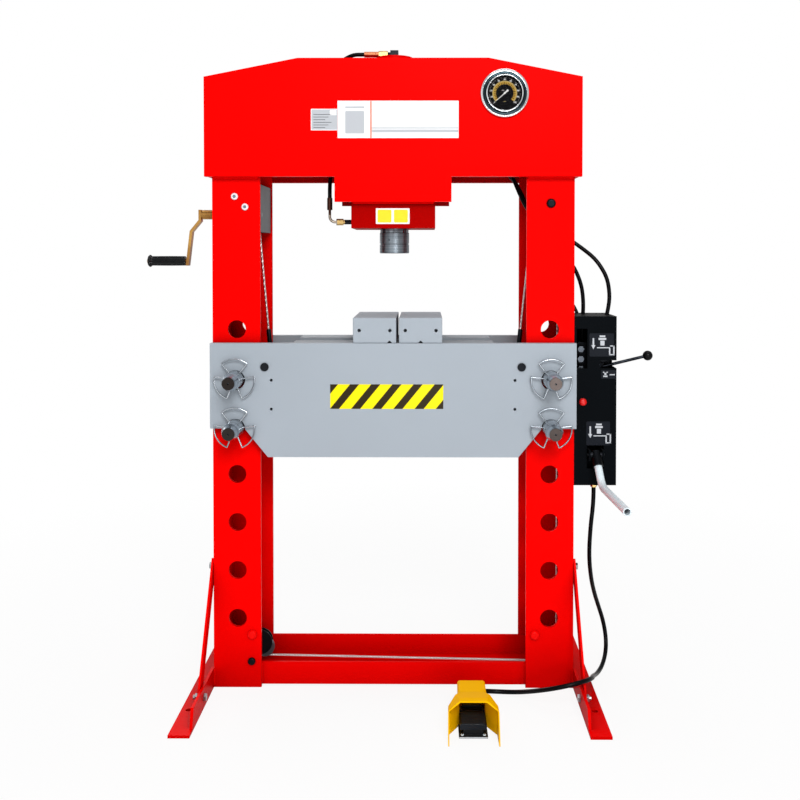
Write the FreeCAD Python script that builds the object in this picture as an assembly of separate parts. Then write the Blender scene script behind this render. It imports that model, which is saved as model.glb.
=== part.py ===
"""A workshop hydraulic press on an H frame, in millimetres.

+Z is up, +X is to the right of someone who stands in front of it, and the
front faces -Y. The origin is on the floor, in the middle of the frame.
"""
import FreeCAD
import Part
import math
import os

# Clearances
seat_gap = 0.3
running_gap = 0.05

# Frame
frame_width = 1044.0
column_depth = 250.0
column_face = 138.0
column_wall = 12.0
column_lap = 218.0
head_overhang = 18.0
head_plate = 25.0
head_bottom = 1482.0
head_side = 284.0
head_rise = 53.0
head_flat = 544.0
neck_width = 334.0
neck_drop = 72.0
end_plate = 12.0
end_plate_drop = 15.0
web_width = 320.0
web_plate = 25.0
tie_height = 65.0
tie_flange = 75.0
tie_plate = 8.0
tie_clearance = 5.0
tie_lap = 40.0
foot_length = 890.0
foot_leg = 57.0
foot_flange = 57.0
foot_plate = 8.0
foot_leg_length = 824.0
foot_leg_slope = 20.0
anchor_hole = 18.0
anchor_inset = 22.0
anchor_spacing_y = 588.0
brace_width = 40.0
brace_plate = 6.0
brace_foot_y = 263.0
brace_foot_z = 30.0
brace_foot_space = 1.8
brace_head_y = 110.0
brace_head_z = 352.0
brace_foot_end = 14.0
brace_head_end = 18.0
brace_bolt = 12.0
brace_nut = 19.0
brace_nut_height = 8.0
bolt_end = 6.0

# Pins and their holes
pin_dia = 50.0
pin_hole = 52.0
pin_inset = 70.0
pin_row_low = 203.0
pin_pitch = 140.0
pin_rows = 7
pin_row_lower = 4
pin_front = 112.0
pin_rear = 22.0
pin_cone = 30.0
pin_end_dia = 35.0
pin_centre_dia = 6.0
clip_wire = 4.0
clip_reach = 58.0
clip_stand_off = 14.0
clip_lobe_deg = 76.0

# Table
table_overhang = 3.0
table_plate = 25.0
table_side_gap = 3.0
table_over_pins = 102.0
table_depth_sides = 245.0
table_depth_middle = 327.0
table_ear = 99.0
table_slope = 67.0
table_pin_hole = 56.0
cross_bar_width = 50.0
cross_bar_height = 60.0
cross_bar_drop = 14.0
cross_bar_inner = 140.0
cross_bar_outer = 240.0
seat_rail_width = 80.0
seat_rail_height = 12.0
seat_rail_end_gap = 53.0
end_bar_inset = 10.0
end_bar_plate = 12.0
end_bar_drop = 80.0
end_bar_height = 135.0
end_bar_screw = 8.5
end_bar_screw_inset = 26.0
rope_rod_inset = 157.0
rope_rod_drop = 68.0
rope_rod_dia = 24.0
rope_rod_proud = 3.0
block_width = 124.0
block_height = 73.0
block_depth = 300.0
block_left_x = -115.0
block_right_x = 17.0
block_hole = 10.0
block_hole_spacing = 88.0
block_hole_depth = 28.0
block_notch = 16.0
block_notch_x = 105.0
block_edge = 1.5

# Cylinder and ram
bore = 140.0
barrel_wall = 22.0
barrel_rise = 24.0
shoulder_width = 13.0
shoulder_height = 40.0
cap_flange = 30.0
boss_dia = 110.0
boss_height = 25.0
gland_height = 57.0
port_rise = 13.0
port_dia = 8.0
port_groove = 14.0
port_groove_depth = 6.0
fitting_dia = 14.0
thread_depth = 12.0
collar_side_gap = 17.0
collar_wall = 12.0
collar_drop = 147.0
collar_plate = 8.0
collar_hole_gap = 7.5
rod_dia = 85.0
piston_height = 60.0
piston_top_gap = 4.0
seal_section = 10.0
head_dia = 88.0
press_head_drop = 73.0
press_head_height = 62.0
press_head_edge = 2.0
head_groove_rise = 28.0
head_groove = 3.0
set_screw_x = -16.0
set_screw_rise = 40.0
set_screw_depth = 14.0
set_screw_dia = 7.0

# Gauge
gauge_x = 318.0
gauge_drop = 48.0
gauge_flange_dia = 139.0
gauge_can_dia = 100.0
gauge_can_gap = 2.0
gauge_can_depth = 50.0
gauge_stub = 12.0
dial_dia = 92.0
bezel_height = 14.0
glass_height = 10.0
glass_plate = 2.0
needle_length = 34.0
needle_tail = 13.0
needle_spindle = 3.0

# Winch, ropes and sheaves
drum_inset = 80.0
drum_drop = 71.0
drum_axle_dia = 20.0
rope_dia = 6.0
rope_on_drum = 29.0
crank_drop = 35.0
crank_y = -60.0
worm_pitch_radius = 11.0
worm_length = 56.0
shaft_dia = 16.0
wheel_width = 16.0
housing_side_gap = 4.0
housing_width = 118.0
housing_below = 86.0
housing_above = 52.0
housing_wall = 6.0
housing_bolt = 8.0
housing_bolt_head = 20.0
housing_bolt_offset = 15.0
left_rope_y = -11.0
right_rope_y = 33.0
drum_end_margin = 21.0
drum_flange = 5.0
axle_dia = 12.0
lower_sheave_z = 59.0
lower_sheave_radius = 24.0
left_sheave_inset = 126.0
right_sheave_inset = 58.0
upper_sheave_inset = 68.0
upper_sheave_drop = 4.5
upper_sheave_radius = 34.0
sheave_rim = 3.5
sheave_width = 16.0
spacer_wall = 4.0
cheek_inset = 110.0
cheek_z = 76.5
cheek_dia = 76.0
cheek_plate = 2.0
dome_z = 155.0
dome_inset = 112.0
dome_dia = 26.0
dome_height = 9.0
sleeve_dia = 14.0
sleeve_above_table = 30.0
crank_hub_gap = 8.0
crank_hub_length = 35.0
crank_hub_dia = 28.0
crank_hole_gap = 3.0
crank_bar = 8.0
crank_bar_width = 26.0
crank_elbow_drop = 48.0
crank_elbow_out = 26.0
crank_arm_drop = 136.0
crank_arm_out = 38.0
grip_length = 112.0
grip_dia = 28.0
grip_end_dia = 36.0
grip_stem_dia = 12.0
grip_start = 4.0

# Control box; places along X are counted from the column's outside
box_width = 122.0
box_front = 125.0
box_back = 56.0
box_bottom = 592.0
box_height = 489.0
box_wall = 3.0
slot_gap = 2.0
lever_slot_height = 23.0
lever_slot_inset = 74.0
lever_slot_back = 55.0
window_inset = 7.0
window_across = 31.0
window_rise = 25.0
window_up = 115.0
tank_inset = 11.0
tank_width = 101.0
tank_front = 55.0
tank_back = 50.0
tank_lift = 28.0
tank_height = 275.0
valve_inset = 23.0
valve_width = 92.0
valve_front = 50.0
valve_foot = 10.0
valve_height = 95.0
valve_fitting_inset = 23.0
valve_fitting_pitch = 29.0
lever_inset = 78.0
lever_y = -85.0
lever_rise_over_foot = 27.0
lever_hub_dia = 26.0
lever_hub_height = 20.0
lever_spindle = 10.0
lever_rod_dia = 9.0
lever_rise = 32.0
lever_reach = 142.0
ball_dia = 29.0
pump_inset = 62.0
pump_y = -135.0
pump_rise = 90.0
pump_slot_height = 72.0
pump_pin_dia = 10.0
pump_ear_reach = 12.0
clevis_gap = 34.0
clevis_cheek = 5.0
socket_dia = 30.0
socket_length = 46.0
socket_depth = 12.0
socket_barrel = 22.0
handle_dia = 22.0
handle_wall = 3.0
handle_bend_x = 7.0
handle_bend_y = -200.0
handle_bend_drop = 78.0
handle_end_x = 25.0
handle_end_y = -470.0
handle_end_drop = 81.0
handle_bend_radius = 60.0
oil_cap_inset = 25.0
oil_cap_rise = 242.0
oil_cap_dia = 22.0
oil_cap_proud = 12.0

# Fittings
fitting_nut = 17.0
elbow_block = 24.0
elbow_height = 22.0
elbow_neck = 8.0
union_nut = 19.0
union_length = 27.0
ferrule_dia = 17.0
ferrule_length = 36.0
top_hose_x = 90.0
nipple_end = 153.0
nipple_nut_length = 21.0
lower_hose_x = 194.0
steel_tube_dia = 8.0
steel_tube_rise = 38.0

# Hoses
hose_dia = 12.0
gauge_hose_dia = 10.0
cord_dia = 12.7
box_fitting_inset = 68.0
box_fitting_y = -60.0
box_fitting_drop = 20.0
window_drop = 197.0
window_height = 150.0
window_y = 22.0
window_width = 60.0
gauge_hose_hole = 60.0
gauge_hose_hole_y = 65.0
gauge_hose_hole_rise = 72.0

# Pedal
pedal_x = 218.0
pedal_base_width = 76.0
pedal_base_plate = 5.0
pedal_front = -440.0
pedal_back = -288.0
pedal_port_z = 24.0
pedal_neck = 24.0
pedal_body_width = 48.0
pedal_body_top = 42.0
pedal_stop_width = 52.0
pedal_stop_top = 17.0
guard_front = -484.0
guard_back = -284.0
guard_wall = 3.0
guard_half_width = 66.0
guard_rear_half_width = 38.0
guard_flare_back = -365.0
guard_flare_front = -418.0
guard_height = 98.0
guard_rear_height = 91.0
guard_side_height = 76.0
guard_edge_slope = 43.0
guard_shoulder = 30.0
guard_bend = 8.0
treadle_width = 70.0
treadle_front = -436.0
treadle_hinge_y = -350.0
treadle_hinge_z = 32.0
treadle_sheet = 3.0
treadle_lip = 14.0
treadle_side_lip = 10.0
treadle_barrel = 12.0
hinge_pin_dia = 6.0
hinge_ear = 4.0
hinge_ear_reach = 8.0

# Worked out from the sizes above
half_width = frame_width / 2
half_depth = column_depth / 2
column_inner = half_width - column_face
web_inner = half_width - column_wall
flange_inner = half_depth - column_wall
column_height = head_bottom + column_lap
head_front = half_depth + head_plate
head_shoulder = head_bottom + head_side
head_top = head_shoulder + head_rise
head_half_width = half_width + head_overhang
neck_bottom = head_bottom - neck_drop
anchor_x = half_width + foot_flange - anchor_inset
pin_x = half_width - pin_inset
pin_row_upper = pin_row_lower + 1
pin_drop = (pin_hole - pin_dia) / 2 - seat_gap
table_drop = (table_pin_hole - pin_dia) / 2 - seat_gap
table_inner = half_depth + table_side_gap
table_outer = table_inner + table_plate
table_half_width = half_width + table_overhang
table_top = pin_row_low + pin_pitch * pin_row_upper + table_over_pins
table_ear_bottom = table_top - table_depth_sides
table_bottom = table_top - table_depth_middle
table_ear_inner = table_half_width - table_ear
table_belly = table_ear_inner - table_slope
end_bar_x = table_belly - end_bar_inset
end_bar_high = table_top - end_bar_drop
end_bar_low = end_bar_high - end_bar_height
rope_rod_x = table_half_width - rope_rod_inset
rope_rod_z = table_top - rope_rod_drop
collar_bottom = head_bottom - collar_drop
barrel_radius = bore / 2 + barrel_wall
barrel_bottom = collar_bottom + collar_plate
barrel_top = head_shoulder + barrel_rise
collar_half_width = barrel_radius + collar_side_gap + collar_wall
port_z = barrel_bottom + port_rise
piston_top = barrel_top - piston_top_gap
rod_top = piston_top - piston_height
press_head_bottom = collar_bottom - press_head_drop
head_screw_top = press_head_bottom + press_head_height
cap_top = barrel_top + cap_flange
boss_top = cap_top + boss_height
top_port_z = boss_top + elbow_height / 2
lower_hose_z = port_z + steel_tube_rise - 2 + ferrule_length
gauge_z = head_shoulder - gauge_drop
drum_x = drum_inset - half_width
drum_z = head_bottom - drum_drop
drum_radius = rope_on_drum - rope_dia / 2 - seat_gap
crank_z = drum_z - crank_drop
wheel_pitch_radius = drum_z - crank_z - worm_pitch_radius
housing_left = housing_side_gap - web_inner
housing_right = housing_left + housing_width
housing_bottom = drum_z - housing_below
housing_top = drum_z + housing_above
crank_hub_start = -half_width - crank_hub_gap
crank_hub_end = crank_hub_start - crank_hub_length
left_sheave_x = left_sheave_inset - half_width
right_sheave_x = half_width - right_sheave_inset
upper_sheave_x = half_width - upper_sheave_inset
upper_sheave_z = drum_z - upper_sheave_drop
cheek_x = cheek_inset - half_width
dome_x = half_width - dome_inset
sleeve_top = table_top + sleeve_above_table
box_left = half_width
box_right = box_left + box_width
box_top = box_bottom + box_height
tank_left = box_left + tank_inset
tank_right = tank_left + tank_width
tank_bottom = box_bottom + tank_lift
tank_top = tank_bottom + tank_height
valve_left = box_left + valve_inset
valve_right = valve_left + valve_width
valve_bottom = tank_top + valve_foot
valve_top = valve_bottom + valve_height
lever_x = box_left + lever_inset
lever_z = valve_bottom + lever_rise_over_foot
lever_slot_left = box_left + lever_slot_inset
lever_slot_low = lever_z - 1
window_left = box_left + window_inset
window_low = valve_bottom + window_rise
pump_x = box_left + pump_inset
pump_z = box_bottom + pump_rise
oil_cap_x = box_left + oil_cap_inset
oil_cap_z = box_bottom + oil_cap_rise
box_fitting_x = box_left + box_fitting_inset
window_z = head_bottom - window_drop
gauge_hose_hole_z = box_top + gauge_hose_hole_rise


def at(x, y, z):
    return FreeCAD.Vector(x, y, z)


RIGHT = at(1, 0, 0)
BACK = at(0, 1, 0)
UP = at(0, 0, 1)
LEFT = at(-1, 0, 0)
FRONT = at(0, -1, 0)
DOWN = at(0, 0, -1)


def block(x_low, x_high, y_low, y_high, z_low, z_high):
    return Part.makeBox(x_high - x_low, y_high - y_low, z_high - z_low, at(x_low, y_low, z_low))


def rod(start, direction, length, dia):
    return Part.makeCylinder(dia / 2, length, start, direction)


def ring(start, direction, length, outer_dia, inner_dia):
    return rod(start, direction, length, outer_dia).cut(rod(start, direction, length, inner_dia))


def hexagon(start, direction, length, across_flats):
    """A hexagonal nut or head that stands on start and points along direction."""
    corner = across_flats / math.sqrt(3)
    points = [at(corner * math.cos(math.radians(60 * i)), corner * math.sin(math.radians(60 * i)), 0)
              for i in range(7)]
    nut = Part.Face(Part.makePolygon(points)).extrude(at(0, 0, length))
    nut.Placement = FreeCAD.Placement(start, FreeCAD.Rotation(UP, direction))
    return nut


def dome(start, direction, dia, height):
    """A round head: a short cylinder with its outer edge rounded."""
    head = rod(start, direction, height, dia)
    top = start + FreeCAD.Vector(direction) * height
    edges = [e for e in head.Edges if e.Closed and (e.CenterOfMass - top).Length < 0.01]
    return head.makeFillet(height * 0.6, edges)


def slab(points, origin, thickness):
    """A flat plate: a closed outline of points, moved by origin and thickened along the given vector."""
    outline = Part.makePolygon(points + [points[0]])
    plate = Part.Face(outline).extrude(thickness)
    plate.translate(origin)
    return plate


def mirrored(shape):
    return shape.mirror(at(0, 0, 0), RIGHT)


def mirrored_y(shape):
    return shape.mirror(at(0, 0, 0), BACK)


def fuse(shapes):
    return shapes[0].multiFuse(shapes[1:]).removeSplitter()


def group(shapes):
    return Part.makeCompound(shapes)


def turned(profile, origin, axis):
    """A turned piece: (radius, height) points about an axis through origin."""
    outline = Part.makePolygon([at(r, 0, h) for r, h in profile + [profile[0]]])
    piece = Part.Face(outline).revolve(at(0, 0, 0), UP, 360)
    piece.Placement = FreeCAD.Placement(origin, FreeCAD.Rotation(UP, axis))
    return piece


def bend(points, i, radius):
    """The arc of that radius at point i of a route, as its start, middle and end."""
    back = (points[i - 1] - points[i]).normalize()
    onward = (points[i + 1] - points[i]).normalize()
    half_turn = (math.pi - back.getAngle(onward)) / 2
    reach = radius * math.tan(half_turn)
    inward = (back + onward).normalize() * (radius / math.cos(half_turn) - radius)
    return points[i] + back * reach, points[i] + inward, points[i] + onward * reach


def route(points, radii):
    """Straight runs through the points, joined by tangent arcs."""
    edges = []
    start = points[0]
    for i, radius in enumerate(radii, 1):
        begin, middle, end = bend(points, i, radius)
        edges.append(Part.LineSegment(start, begin).toShape())
        edges.append(Part.Arc(begin, middle, end).toShape())
        start = end
    edges.append(Part.LineSegment(start, points[-1]).toShape())
    return Part.Wire(edges)


def pipe(points, radii, dia):
    path = route(points, radii)
    profile = Part.Wire(Part.makeCircle(dia / 2, points[0], points[1] - points[0]))
    return path.makePipeShell([profile], True, False), path.Length


def widest_radii(points):
    """At each point, 0.45 of the shorter run over the tangent of half the turn."""
    radii = []
    for before, here, after in zip(points, points[1:], points[2:]):
        turn = (here - before).getAngle(after - here)
        shorter = min((here - before).Length, (after - here).Length)
        radii.append(0.45 * shorter / math.tan(turn / 2))
    return radii


def hose(name, points, dia):
    radii = widest_radii(points)
    tube, length = pipe(points, radii, dia)
    section = math.pi * (dia / 2) ** 2
    print(name, "length", round(length), "smallest radius", round(min(radii)),
          "volume over section times length", round(tube.Volume / section / length, 4))
    return tube


def pin_heights():
    return [pin_row_low + pin_pitch * row for row in range(pin_rows)]


def pin_height(level):
    """The middle of a pin that rests in its row of column holes; level 0 is the lower pin."""
    return pin_row_low + pin_pitch * (pin_row_lower + level) - pin_drop


# Frame

def column():
    """The right column: a channel that opens towards the middle, with its rows of pin holes."""
    post = block(column_inner, half_width, -half_depth, half_depth, 0, column_height)
    post = post.cut(block(column_inner - 1, web_inner, -flange_inner, flange_inner, -1, column_height + 1))
    holes = [rod(at(pin_x, -half_depth - 1, z), BACK, column_depth + 2, pin_hole) for z in pin_heights()]
    return post.cut(group(holes))


def left_column():
    post = mirrored(column())
    cuts = [rod(at(-half_width - 1, crank_y, crank_z), RIGHT, column_wall + 2,
                crank_hub_dia + 2 * crank_hole_gap),
            rod(at(cheek_x, -half_depth - 1, cheek_z), BACK, column_wall + 2, axle_dia + 2 * running_gap)]
    for side in (-1, 1):
        x, z = drum_x + side * housing_bolt_offset, drum_z - side * housing_bolt_offset
        cuts.append(rod(at(x, -half_depth - 1, z), BACK, column_wall + 2, housing_bolt + 2 * running_gap))
    return post.cut(group(cuts))


def right_column():
    post = column()
    window = block(web_inner - 1, half_width + 1, window_y - window_width / 2, window_y + window_width / 2,
                   window_z - window_height / 2, window_z + window_height / 2)
    hole = rod(at(web_inner - 1, gauge_hose_hole_y, gauge_hose_hole_z), RIGHT, column_wall + 2,
               gauge_hose_hole)
    axle = rod(at(upper_sheave_x, -half_depth - 1, upper_sheave_z), BACK, column_wall + 2,
               axle_dia + 2 * running_gap)
    return post.cut(group([window, hole, axle]))


def head_outline():
    side, flat, neck = head_half_width, head_flat / 2, neck_width / 2
    right = [at(neck, 0, neck_bottom), at(neck, 0, head_bottom), at(side, 0, head_bottom),
             at(side, 0, head_shoulder), at(flat, 0, head_top)]
    left = [at(-p.x, 0, p.z) for p in reversed(right)]
    return right + left


def head_front_plate():
    plate = slab(head_outline(), at(0, -head_front, 0), at(0, head_plate, 0))
    return plate.cut(rod(at(gauge_x, -head_front - 1, gauge_z), BACK, head_plate + 2,
                         gauge_can_dia + 2 * gauge_can_gap))


def head_rear_plate():
    return slab(head_outline(), at(0, half_depth, 0), at(0, head_plate, 0))


def head_end_plates():
    """The plates that close the head's two ends, outside the columns."""
    plate = block(half_width, half_width + end_plate, -half_depth, half_depth, head_bottom,
                  head_shoulder - end_plate_drop)
    return group([plate, mirrored(plate)])


def head_webs():
    """Two level plates between the head plates that hold the cylinder."""
    half = web_width / 2
    shoulder_top = head_shoulder - web_plate
    webs = []
    for low in (head_bottom, shoulder_top):
        plate = block(-half, half, -half_depth, half_depth, low, low + web_plate)
        webs.append(plate.cut(rod(at(0, 0, low - 1), UP, web_plate + 2, 2 * (barrel_radius + seat_gap))))
    return group(webs)


def cylinder_collar():
    """The square box under the head that guards the lower end of the cylinder."""
    half = collar_half_width
    outer = block(-half, half, -half_depth, half_depth, collar_bottom, head_bottom)
    deep = half_depth - collar_wall
    inner = block(-half + collar_wall, half - collar_wall, -deep, deep, collar_bottom + collar_plate,
                  head_bottom + 1)
    hole = rod(at(0, 0, collar_bottom - 1), UP, collar_plate + 2, rod_dia + 2 * collar_hole_gap)
    port = rod(at(-half - 1, 0, port_z), RIGHT, collar_wall + 2, fitting_dia + 4)
    return outer.cut(group([inner, hole, port]))


def front_tie():
    """An angle between the columns' feet, its upright leg at the front."""
    top = tie_clearance + tie_height
    half = column_inner + tie_lap
    upright = block(-half, half, -flange_inner, -flange_inner + tie_plate,
                    tie_clearance, top)
    flange = block(-half, half, -flange_inner, -flange_inner + tie_flange,
                   tie_clearance, tie_clearance + tie_plate)
    return fuse([upright, flange])


def rear_tie():
    return mirrored_y(front_tie())


def foot():
    """The right foot: an angle along the floor, its upright leg against the column."""
    half, leg_half = foot_length / 2, foot_leg_length / 2
    low, high = half_width, half_width + foot_plate
    leg = slab([at(low, -leg_half, 0), at(low, leg_half, 0), at(low, leg_half - foot_leg_slope, foot_leg),
                at(low, -leg_half + foot_leg_slope, foot_leg)], at(0, 0, 0), at(foot_plate, 0, 0))
    flange = block(low, low + foot_flange, -half, half, 0, foot_plate)
    piece = fuse([leg, flange])
    cuts = []
    for side in (-1, 1):
        cuts.append(rod(at(anchor_x, side * anchor_spacing_y / 2, -1), UP, foot_plate + 2,
                        anchor_hole))
        cuts.append(rod(at(low - 1, side * brace_foot_y, brace_foot_z), RIGHT, foot_plate + 2,
                        brace_bolt + 2 * running_gap))
    return piece.cut(group(cuts))


def brace_face(z):
    """The inside face of a brace leans from outside the foot's leg to the column."""
    share = (z - brace_foot_z) / (brace_head_z + brace_head_end - brace_foot_z)
    lean = foot_plate + brace_foot_space - seat_gap
    return half_width + seat_gap + lean * (1 - share)


def brace():
    """The right front brace: a flat bar with a bolt hole near each end."""
    foot_end = at(brace_face(brace_foot_z), -brace_foot_y, brace_foot_z)
    head_end = at(brace_face(brace_head_z), -brace_head_y, brace_head_z)
    along = (head_end - foot_end).normalize()
    across = RIGHT.cross(along).normalize() * (brace_width / 2)
    out = along.cross(across).normalize() * brace_plate
    low, high = foot_end - along * brace_foot_end, head_end + along * brace_head_end
    bar = slab([low - across, high - across, high + across, low + across], at(0, 0, 0), out)
    holes = [rod(at(half_width, -brace_foot_y, brace_foot_z), RIGHT, 3 * foot_plate,
                 brace_bolt + 2 * running_gap),
             rod(at(half_width - 1, -brace_head_y, brace_head_z), RIGHT, 3 * foot_plate,
                 brace_bolt + 2 * running_gap)]
    return bar.cut(group(holes))


def braces():
    right_front = brace()
    right = [right_front, mirrored_y(right_front)]
    return group(right + [mirrored(b) for b in right])


def brace_bolts(side):
    """The bolt with its nut at a brace's foot, and the screw at its head, on the right."""
    foot_face, head_face = brace_face(brace_foot_z) + brace_plate, brace_face(brace_head_z) + brace_plate
    foot_y, head_y = side * brace_foot_y, side * brace_head_y
    shank = rod(at(half_width, foot_y, brace_foot_z), RIGHT,
                foot_face + brace_nut_height + bolt_end - half_width, brace_bolt)
    foot_head = hexagon(at(half_width, foot_y, brace_foot_z), LEFT, brace_nut_height - 1, brace_nut)
    nut = hexagon(at(foot_face + seat_gap, foot_y, brace_foot_z), RIGHT, brace_nut_height, brace_nut)
    head = hexagon(at(head_face + seat_gap, head_y, brace_head_z), RIGHT, brace_nut_height - 1, brace_nut - 2)
    screw = rod(at(half_width, head_y, brace_head_z), RIGHT, head_face + 3 - half_width, brace_bolt)
    return [fuse([shank, foot_head, nut]), fuse([head, screw])]


def frame_bolts():
    """Brace bolts, the winch's two bolts and the painted round heads low on the columns."""
    right = brace_bolts(-1) + brace_bolts(1)
    winch = []
    for side in (-1, 1):
        x, z = drum_x + side * housing_bolt_offset, drum_z - side * housing_bolt_offset
        winch.append(fuse([dome(at(x, -half_depth, z), FRONT, housing_bolt_head, brace_nut_height - 1),
                           rod(at(x, -half_depth - 2, z), BACK, column_wall + housing_wall + 2,
                               housing_bolt)]))
    domes = [dome(at(side * dome_x, -half_depth, dome_z), FRONT, dome_dia, dome_height) for side in (-1, 1)]
    return group(right + [mirrored(b) for b in right] + winch + domes)


# Cylinder and ram

def cylinder_barrel():
    tube = ring(at(0, 0, barrel_bottom), UP, barrel_top - barrel_bottom, 2 * barrel_radius, bore)
    shoulder_z = head_shoulder - web_plate - shoulder_height
    shoulder = ring(at(0, 0, shoulder_z), UP, shoulder_height, 2 * (barrel_radius + shoulder_width),
                    bore)
    barrel = fuse([tube, shoulder])
    port = rod(at(-barrel_radius - 1, 0, port_z), RIGHT, barrel_wall + 2, port_dia)
    thread = rod(at(-barrel_radius - 1, 0, port_z), RIGHT, thread_depth + 1, fitting_dia)
    return barrel.cut(group([port, thread]))


def cylinder_cap():
    """The lid on the barrel, with a round boss and the upper port."""
    lid = fuse([rod(at(0, 0, barrel_top), UP, cap_flange, 2 * barrel_radius),
                rod(at(0, 0, cap_top), UP, boss_height, boss_dia)])
    port = rod(at(0, 0, barrel_top - 1), UP, boss_top - barrel_top + 2, port_dia)
    thread = rod(at(0, 0, boss_top - thread_depth), UP, thread_depth + 1, fitting_dia)
    return lid.cut(group([port, thread]))


def cylinder_gland():
    """The rod guide in the barrel's lower end, with a groove and slots that lead oil past it."""
    body = ring(at(0, 0, barrel_bottom), UP, gland_height, bore, rod_dia + 2 * running_gap)
    groove = ring(at(0, 0, port_z - port_groove / 2), UP, port_groove, bore + 2, bore - 2 * port_groove_depth)
    half = port_groove / 2
    slots = [block(side * bore / 2 - half, side * bore / 2 + half, -half, half, port_z,
                   barrel_bottom + gland_height + 1) for side in (-1, 1)]
    return body.cut(group([groove] + slots))


def seal_groove():
    low = rod_top + piston_height / 2 - seal_section / 2
    return ring(at(0, 0, low), UP, seal_section, bore + 2, bore - 2 * seal_section)


def piston():
    body = rod(at(0, 0, rod_top), UP, piston_height, bore - 2 * running_gap)
    return body.cut(seal_groove())


def piston_seal():
    low = rod_top + piston_height / 2 - seal_section / 2
    return ring(at(0, 0, low), UP, seal_section, bore - 2 * running_gap, bore - 2 * seal_section)


def ram_rod():
    return rod(at(0, 0, head_screw_top), UP, rod_top - head_screw_top, rod_dia)


def press_head():
    """The cap on the ram's end, with a groove, a set-screw hole and broken edges."""
    cap = rod(at(0, 0, press_head_bottom), UP, press_head_height, head_dia)
    cap = cap.makeChamfer(press_head_edge, [e for e in cap.Edges if e.Closed and e.Length > head_dia])
    groove = ring(at(0, 0, press_head_bottom + head_groove_rise - head_groove / 2), UP, head_groove,
                  head_dia + 2, head_dia - 4)
    screw = rod(at(set_screw_x, -head_dia, press_head_bottom + set_screw_rise), BACK,
                head_dia / 2 + set_screw_depth, set_screw_dia)
    return cap.cut(group([groove, screw]))


# Gauge

def gauge_point(height):
    """A point on the gauge's axis, that far in front of the head's front plate."""
    return at(gauge_x, -head_front - height, gauge_z)


def gauge_case():
    """The can with its wide turned bezel, and the stub at the back where its hose joins."""
    rim, dial = gauge_flange_dia / 2, dial_dia / 2
    can = gauge_can_dia / 2
    bezel = turned([(0, 0), (rim, 0), (rim, 5), (rim - 3, 8), (rim - 6, 8), (rim - 10, 6), (rim - 14, 9),
                    (rim - 15, bezel_height), (dial + 3.5, bezel_height), (dial + 3.5, glass_height),
                    (dial, glass_height), (dial, 1), (0, 1)], gauge_point(0), FRONT)
    body = rod(gauge_point(0), BACK, gauge_can_depth, 2 * can)
    stub = rod(gauge_point(-gauge_can_depth), BACK, gauge_stub, fitting_dia)
    spindle_hole = rod(gauge_point(2), BACK, 6, needle_spindle + 2 * running_gap)
    return fuse([bezel, body, stub]).cut(spindle_hole)


def gauge_dial():
    plate = rod(gauge_point(1), FRONT, 1, dial_dia - 2 * seat_gap)
    return plate.cut(rod(gauge_point(0), FRONT, 3, needle_spindle + 2 * running_gap))


def gauge_needle():
    """The hand at zero, pointing down to the left, on its own spindle."""
    outline = [at(-needle_length, 0, 0.5), at(-needle_length, 0, -0.5), at(0, 0, -1.4),
               at(needle_tail, 0, -3.2), at(needle_tail, 0, 3.2), at(0, 0, 1.4)]
    hand = slab(outline, at(0, -1, 0), at(0, 1, 0))
    hub = rod(at(0, 0, 0), FRONT, 2, 6)
    spindle = rod(at(0, 0, 0), BACK, 5, needle_spindle)
    piece = fuse([hand, hub, spindle])
    piece.rotate(at(0, 0, 0), BACK, -42)
    piece.translate(gauge_point(3))
    return piece


def gauge_glass():
    return rod(gauge_point(glass_height), FRONT, glass_plate, dial_dia + 7 - 2 * seat_gap)


# Hydraulic lines

def top_fitting():
    """The elbow on the cylinder's cap, its nut and the hose's crimped end."""
    half, z = elbow_block / 2, top_port_z
    nut_x = -half - elbow_neck
    return fuse([rod(at(0, 0, boss_top - thread_depth), UP, thread_depth + 1, fitting_dia),
                 block(-half, half, -half, half, boss_top, boss_top + elbow_height),
                 rod(at(1 - half, 0, z), LEFT, elbow_neck + 2, fitting_dia),
                 hexagon(at(nut_x, 0, z), LEFT, union_length, union_nut),
                 rod(at(nut_x - union_length, 0, z), LEFT, top_hose_x + nut_x - union_length, ferrule_dia)])


def lower_fitting():
    """The nipple in the barrel's lower port, its nut, the bent steel tube and the hose's crimped end."""
    nipple = rod(at(-barrel_radius + thread_depth, 0, port_z), LEFT,
                 nipple_end - barrel_radius + thread_depth, fitting_dia)
    nut = hexagon(at(-nipple_end, 0, port_z), LEFT, nipple_nut_length, fitting_nut)
    tube, _ = pipe([at(2 - nipple_end - nipple_nut_length, 0, port_z), at(-lower_hose_x, 0, port_z),
                    at(-lower_hose_x, 0, port_z + steel_tube_rise)], [2 * steel_tube_dia], steel_tube_dia)
    ferrule = rod(at(-lower_hose_x, 0, port_z + steel_tube_rise - 2), UP, ferrule_length, ferrule_dia - 1)
    return fuse([nipple, nut, tube, ferrule])


def pedal_hose_start():
    return at(box_fitting_x, box_fitting_y, box_bottom - box_fitting_drop)


def port_fittings():
    """The fittings on the cylinder, on the valve block behind the box's window and under the box."""
    start = pedal_hose_start()
    stem_length = box_fitting_drop + tank_lift + 1
    box_nut = fuse([hexagon(start + UP * 2, UP, box_fitting_drop - 2, fitting_nut),
                    rod(start, UP, stem_length, cord_dia - 0.7)])
    window = []
    for i in range(3):
        z = lever_z - 6 + valve_fitting_pitch * i
        nut = at(valve_left, -box_front + valve_fitting_inset, z)
        window.append(fuse([hexagon(nut, BACK, 16, fitting_nut),
                            rod(nut + BACK * 14, BACK, box_front - valve_fitting_inset - valve_front - 14,
                                hose_dia)]))
    return group([top_fitting(), lower_fitting(), box_nut] + window)


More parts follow.
